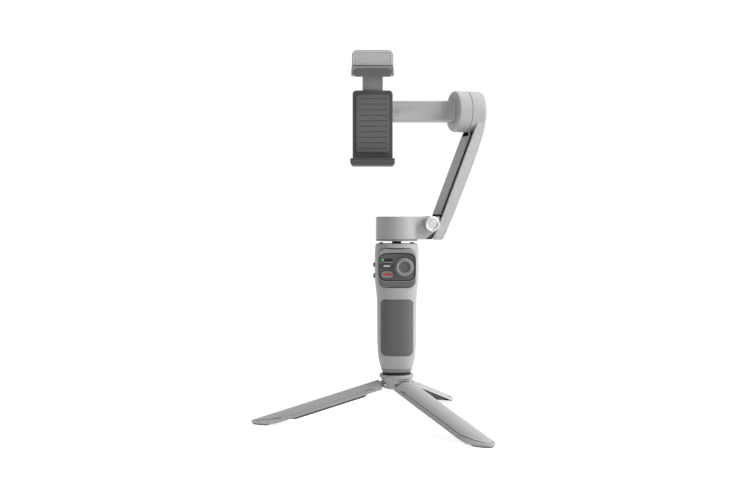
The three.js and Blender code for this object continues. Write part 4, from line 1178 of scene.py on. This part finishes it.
def arm_side(bottom, offset, distance, top):
    """The arm's side view between its straight inner edge and its bowed outer edge."""
    motor_end = box_in(ARM, "arm_outer_shell")[1].x
    outer = [(x - distance, z) for x, z in smooth_curve([*OUTER_EDGE, (motor_end, 92)], 10)]
    start = [(inner_edge(bottom, offset), bottom)]
    if bottom < OUTER_EDGE[0][1]:
        foot = (6.5 - distance, bottom)
        corner = (10.7 - distance, bottom)
        start += bezier(foot, corner, corner, outer[0], 8)[:-1]
        sides = outer
    else:
        above = [point for point in outer if point[1] > bottom]
        slope = (above[1][0] - above[0][0]) / (above[1][1] - above[0][1])
        sides = [(above[0][0] - slope * (above[0][1] - bottom), bottom), *above]
    return [*start, *sides, (inner_edge(top, offset), top)]


def build_arm():
    low, high = box_in(ARM, "arm_outer_shell")
    tilt = ARM.inverted() @ joint_place("tilt")
    motor_end = high.x
    motor_radius = high.z - tilt.z
    seam = 36.3
    side = arm_side(low.z, ARM_INNER, 0, 88)
    plates = [
        prism("y", side, -motor_radius + 3.5, -motor_radius + 5.5, (0.5, 0.25), 3),
        prism("y", side, motor_radius - 5.5, motor_radius - 3.5, (0.25, 0.5), 3),
    ]
    outer_half = motor_radius - 3.5
    web = cut(
        prism("y", arm_side(-2.5, ARM_INNER, 0, 88), -outer_half, outer_half, (0.5, 0.5), 3),
        prism("y", arm_side(-2.6, ARM_INNER - 9, ARM_WEB, 110), -outer_half + 2, outer_half - 2),
    )
    blade = join(web, *plates)
    cut(blade, block(-40, seam, -30, 30, tilt.z - motor_radius - 1, tilt.z + 40))
    join(blade, drum("x", motor_radius, seam, motor_end, (0.35, 2.6), (0, tilt.z)))
    cut(blade, rod("x", motor_radius - 2, 0, motor_end - 2.2, (0, tilt.z), segments=96))
    join(blade, ring("x", 3.3, 6, motor_end - 6, motor_end - 2, (0, tilt.z)))
    screw_low, screw_high = box_in(ARM, "arm_cover_screw")
    screw = (screw_low + screw_high) / 2
    join(blade, rod("x", 2.3, screw_low.x + 1.4, motor_end - 3, (screw.y, screw.z)))
    cut(blade, rod("x", 1.1, screw_low.x, screw_high.x + 2, (screw.y, screw.z)))
    cut(blade, end_groove("x", motor_radius, motor_end, (0, tilt.z)))
    add("arm_shell", blade, ARM, "arm_outer_shell", [LIGHT, BLACK], 0.3)

    # Painted shade: the faces inside the arm below the motor take black, standing in for the shade in the arm's
    # open lower end.
    def is_painted_shade_inside(centre, normal):
        below_motor = centre.z < tilt.z - motor_radius - 0.5
        return below_motor and abs(centre.y) < outer_half - 1.9 and normal.x < 0.3

    paint(blade, ARM, is_painted_shade_inside)

    low, high = box_in(ARM, "arm_inner_cover")
    half, wall = high.y, 1.2
    edge = ARM_INNER - 1.5
    room = ARM_WEB + GAP + 0.3
    cover = prism("y", arm_side(low.z, edge, room, 88), -half, half, (1.1, 1.1), 4)
    cut(
        cover,
        prism("y", arm_side(low.z - 2, edge + wall, -20, 88), -half + wall, half - wall),
        block(-60, 90, -30, 30, high.z, 140),
    )
    add("arm_cover", cover, ARM, "arm_inner_cover", [COVER_SHADED_COPY, BLACK], 0.1)
    # Painted shade: the cover's side walls take black, standing in for the shade in the slot between the cover and
    # the flanges.
    paint(cover, ARM, lambda _, normal: abs(normal.y) > 0.93)

    head = join(
        rod("x", 1.6, screw_low.x, screw_low.x + 1.2, (screw.y, screw.z), 0.25),
        rod("x", 0.8, screw_low.x + 1, screw_high.x, (screw.y, screw.z)),
    )
    cross = [
        block(-1, 0.6, -a, a, -b, b)
        for a, b in ((0.9, 0.2), (0.2, 0.9))
    ]
    for slot in cross:
        slot.data.transform(Matrix.Translation((screw_low.x, screw.y, screw.z)))
    cut(head, *cross)
    add("cover_screw", head, ARM, "arm_cover_screw", STEEL)

    low, high = box_in(ARM, "tilt_inner_housing")
    cap = drum("x", motor_radius, low.x, high.x, (2.4, 0.35), (0, tilt.z))
    cut(
        cap,
        rod("x", motor_radius - 2, low.x + 7, high.x + 5, (0, tilt.z), segments=96),
        rod("x", 6.9, low.x + 3, high.x, (0, tilt.z)),
    )
    add("tilt_cap", cap, ARM, "tilt_inner_housing", LIGHT, 0.15)


# ------------------------------------------------------------------ roll arm
def build_roll_arm():
    low, high = box_in(CLAMP, "roll_arm")
    centre = CLAMP.inverted() @ joint_place("roll")
    tilt_low = box_in(ARM, "tilt_inner_housing")[0].x - GAP
    radius = -low.x
    half = 9

    height = centre.z - joint_place("arm_fold").z / MM

    def on_motor(side):
        point = CLAMP.inverted() @ (ARM @ Vector((tilt_low, side, height)))
        return (point.x, point.y)

    front, rear = on_motor(-half), on_motor(half)
    back, near = 21.5, 9.6
    bend = front[0] - 10
    plan = [
        *bezier(rear, (bend + 4, back), (bend + 2, back), (bend - 4, back), 12), (0, back),
        (0, near), *bezier((bend - 2, near), (bend + 5, near), (bend + 6, near), front, 12),
    ]
    bar = prism("z", plan, centre.z - half, centre.z + half, (2.2, 2.2), 5)
    join(bar, drum("y", radius, low.y, high.y, (0.6, 2.2), (0, centre.z)))
    cut(
        bar,
        rod("y", radius - 1.8, low.y - 1, high.y - 5.5, (0, centre.z), segments=96),
        rod("y", 6.9, low.y, high.y - 2.2, (0, centre.z)),
        end_groove("y", radius, high.y, (0, centre.z)),
    )
    add("roll_bar", bar, CLAMP, "roll_arm", LIGHT, 0.3)


# ------------------------------------------------------------------ clamp
def build_clamp():
    low, high = box_in(CLAMP, "clamp_body")
    centre = CLAMP.inverted() @ joint_place("roll")
    pad_low, pad_high = box_in(CLAMP, "lower_jaw_pad")
    half = high.x
    plate_half, front, back = 17, 1.4, 7.4
    jaw_top = pad_high.z + 1.6
    corners = [(-half, low.z), (half, low.z), (half, jaw_top), (-half, jaw_top)]
    jaw = prism("y", filleted(corners, [6, 6, 0.8, 0.8], 10), low.y, back, (1.2, 0.8), 5)
    outline = rounded_rect(-plate_half, plate_half, low.z + 2.8, high.z, 3)
    plate = prism("y", outline, front, back, (0.5, 0.8))
    boss = rod("y", 11.4, back - 1, high.y, (0, centre.z), 0.3, 96)
    join(jaw, plate, boss)
    cut(
        jaw,
        block(-30, 30, low.y + 1.6, front, pad_low.z - 0.1, pad_low.z + 30),
        block(-12.6, 12.6, 3, 6, 226.5, 300),
    )
    add("clamp_frame", jaw, CLAMP, "clamp_body", DARK, 0.3)

    outline = rounded_rect(pad_low.x, pad_high.x, pad_low.y, pad_high.y, 1.2)
    pad = prism("z", outline, pad_low.z, pad_high.z, (0, 0.4))
    starts = [pad_low.y + 1.4 + 1.5 * k for k in range(5)]
    cut(pad, *[block(-17, 17, y, y + 0.5, pad_high.z - 0.35, 240) for y in starts])
    add("lower_pad", pad, CLAMP, "lower_jaw_pad", RUBBER, 0.08)

    low, high = box_in(CLAMP, "back_pad")
    pad = prism("y", rounded_rect(low.x, high.x, low.z, high.z, 3), low.y, high.y, (0.4, 0))
    ribs = []
    count = 10
    for k in range(count):
        z = low.z + (high.z - low.z) * (k + 0.75) / (count + 0.5)
        outline = rounded_rect(low.x + 2, high.x - 2, z - 0.35, z + 0.35, 0.3)
        ribs.append(prism("y", outline, low.y - 1, low.y + 0.4))
    cut(pad, *ribs)
    add("rear_pad", pad, CLAMP, "back_pad", RUBBER, 0.08)


PHONE_TOP = 292.8  # height of the phone's upper edge


def build_upper_jaw():
    low, high = box_in(CLAMP, "upper_jaw")
    pad_low, pad_high = box_in(CLAMP, "upper_jaw_pad")
    hinge = CLAMP.inverted() @ joint_place("light_flip")
    half = high.x
    top = box_in(CLAMP, "light_housing")[0].z - 0.4
    back = 5.9
    ceiling = pad_high.z

    def flared(bottom):
        corners = [(-half, bottom), (half, bottom), (half - 0.6, top), (-half + 0.6, top)]
        return filleted(corners, [1.2, 1.2, 0.8, 0.8], 6)

    lid = prism("y", flared(PHONE_TOP + 1.4), low.y, back, (0.6, 0.5), 4)
    lip = prism("y", flared(low.z if low.z > 290 else 291.9), low.y, low.y + 1.4, (0.6, 0.2), 4)
    stem = block(-8.6, 8.6, 3.3, 5.7, low.z, top - 1)
    join(lid, lip, stem)
    pad_half = pad_high.x + 0.3
    recess = prism("y", rounded_rect(-pad_half, pad_half, 280, ceiling + 0.3, 4), -14, low.y + 0.8)
    mouth = block(-pad_half, pad_half, -14, low.y + 1.5, 280, PHONE_TOP + 1.4)
    cut(lid, join(recess, mouth))
    for side in (-1, 1):
        x0, x1 = sorted((side * 10.6, side * 13.4))
        lug = join(
            rod("x", 2.2, x0, x1, (hinge.y, hinge.z), 0.2),
            block(x0, x1, hinge.y - 2.2, back, top - 1.5, hinge.z),
        )
        join(lid, lug)
    cut(lid, rod("x", 1.2, -20, 20, (hinge.y, hinge.z)))
    add("jaw_lid", lid, CLAMP, "upper_jaw", GREY, 0.2)

    outline = rounded_rect(pad_low.x, pad_high.x, pad_low.z, pad_high.z, 3.4)
    face = prism("y", outline, pad_low.y, pad_low.y + 1.5, (0.4, 0))
    outline = rounded_rect(-15.2, 15.2, pad_low.y + 1, 0.6, 0.6)
    roof = prism("z", outline, PHONE_TOP, PHONE_TOP + 1.1)
    join(face, roof)
    add("jaw_pad", face, CLAMP, "upper_jaw_pad", RUBBER, 0.1)


def light_outline(distance):
    low, high = box_in(CLAMP, "light_housing")
    half, corner = high.x - distance, 4.2 - distance
    points = [
        (-half, low.z + distance), (half, low.z + distance), (half, high.z - distance),
        (-half, high.z - distance),
    ]
    return filleted(points, [0.5, 0.5, corner, corner], 10)


def build_light():
    low, high = box_in(CLAMP, "light_housing")
    hinge = CLAMP.inverted() @ joint_place("light_flip")
    body_back = 3.0
    radius = high.y - hinge.y
    body = prism("y", light_outline(0), low.y, body_back, (0.7, 1.6), 5)
    cut(body, prism("y", light_outline(1.2), low.y - 2, low.y + 3.2))
    join(body, rod("x", radius, -10.3, 10.3, (hinge.y, hinge.z), 0.2))
    join(body, block(-10.2, 10.2, body_back - 0.8, hinge.y, hinge.z, hinge.z + radius))
    notches = []
    for side in (-1, 1):
        x0, x1 = side * 12 - 1.9, side * 12 + 1.9
        notches.append(rod("x", radius + GAP, x0, x1, (hinge.y, hinge.z)))
        notches.append(block(x0, x1, hinge.y - radius - GAP, hinge.y + radius, 299, hinge.z))
    cut(body, *notches, rod("x", 1.25, -11, 11, (hinge.y, hinge.z)))
    add("light_case", body, CLAMP, "light_housing", GREY, 0.15)

    rim = prism("y", light_outline(0.55), low.y - 0.02, low.y + 1.0, (0.25, 0))
    cut(rim, prism("y", light_outline(1.75), low.y - 2, low.y + 3))
    add_detail("light_rim", rim, CLAMP, "light_housing", FRAME_WHITE)

    low, high = box_in(CLAMP, "light_diffuser")
    lens = prism("y", light_outline(1.8), low.y + 0.45, high.y, (0.3, 0))
    add("light_lens", lens, CLAMP, "light_diffuser", DIFFUSER)


# ------------------------------------------------------------------ stage, light and camera
def build_stage():
    mesh = bpy.data.meshes.new("floor")
    size = 6.0
    corners = [(-size, -size, 0), (size, -size, 0), (size, size, 0), (-size, size, 0)]
    mesh.from_pydata(corners, [], [(0, 1, 2, 3)])
    floor = bpy.data.objects.new("floor", mesh)
    bpy.context.scene.collection.objects.link(floor)
    nodes = Nodes("pale_floor")
    tint = nodes.mix(nodes.spread(nodes.noise(200, 2), 0, 1), (0.33, 0.33, 0.33), (0.36, 0.36, 0.36))
    nodes.link(tint, nodes.shader.inputs["Base Color"])
    nodes.shader.inputs["Roughness"].default_value = 0.8
    nodes.shader.inputs["Specular IOR Level"].default_value = 0.1
    nodes.shader.inputs["Emission Color"].default_value = (1, 1, 1, 1)
    nodes.shader.inputs["Emission Strength"].default_value = 0.88
    mesh.materials.append(nodes.material)


def area_light(name, place, target, size, energy, size_y=None):
    data = bpy.data.lights.new(name, "AREA")
    data.energy = energy
    data.size = size
    if size_y:
        data.shape = "RECTANGLE"
        data.size_y = size_y
    lamp = bpy.data.objects.new(name, data)
    lamp.location = place
    lamp.rotation_euler = (Vector(target) - Vector(place)).to_track_quat("-Z", "Y").to_euler()
    bpy.context.scene.collection.objects.link(lamp)


def build_lighting():
    world = bpy.data.worlds.new("studio")
    world.use_nodes = True
    tree = world.node_tree
    background = tree.nodes["Background"]
    coordinate = tree.nodes.new("ShaderNodeTexCoord")
    facing = tree.nodes.new("ShaderNodeVectorMath")
    facing.operation = "DOT_PRODUCT"
    facing.inputs[1].default_value = (0.35, 0.93, 0)
    ramp = tree.nodes.new("ShaderNodeMapRange")
    for key, number in zip(("From Min", "From Max", "To Min", "To Max"), (-0.4, 0.68, 0.16, 1.02)):
        ramp.inputs[key].default_value = number
    tree.links.new(coordinate.outputs["Generated"], facing.inputs[0])
    tree.links.new(facing.outputs["Value"], ramp.inputs["Value"])
    # The backdrop itself is white from every side; only its light is stronger from one.
    seen = tree.nodes.new("ShaderNodeMath")
    seen.operation = "MAXIMUM"
    path = tree.nodes.new("ShaderNodeLightPath")
    tree.links.new(path.outputs["Is Camera Ray"], seen.inputs[0])
    tree.links.new(ramp.outputs["Result"], seen.inputs[1])
    tree.links.new(seen.outputs["Value"], background.inputs["Strength"])
    background.inputs["Color"].default_value = (1, 1, 1, 1)
    bpy.context.scene.world = world
    middle = (CAD_BOX[0] + CAD_BOX[1]) / 2
    area_light("key", (1.0, -0.36, 0.75), middle, 0.5, 15, 0.9)
    area_light("top", (0.15, 0.1, 1.1), middle, 0.8, 5)
    bpy.context.scene.view_settings.view_transform = "Standard"


CAMERA_DISTANCE = 0.83  # from the handle's axis
CAMERA_OFFSET = -0.0184  # to the left of it
CAMERA_HEIGHT = 0.1675


def build_camera():
    data = bpy.data.cameras.new("camera")
    data.sensor_width = 36
    data.lens = 46.9
    camera = bpy.data.objects.new("camera", data)
    camera.location = (SCREW.x + CAMERA_OFFSET, SCREW.y - CAMERA_DISTANCE, CAMERA_HEIGHT)
    camera.rotation_euler = (math.radians(90 - 1.47), 0, 0)
    bpy.context.scene.collection.objects.link(camera)
    bpy.context.scene.camera = camera


dress_cad_nodes()
build_hub()
for leg_number in LEGS:
    build_leg(leg_number)
build_handle()
build_grip_pad()
build_controls()
build_trigger()
build_pan()
build_arm()
build_roll_arm()
build_clamp()
build_upper_jaw()
build_light()
build_stage()
build_lighting()
build_camera()
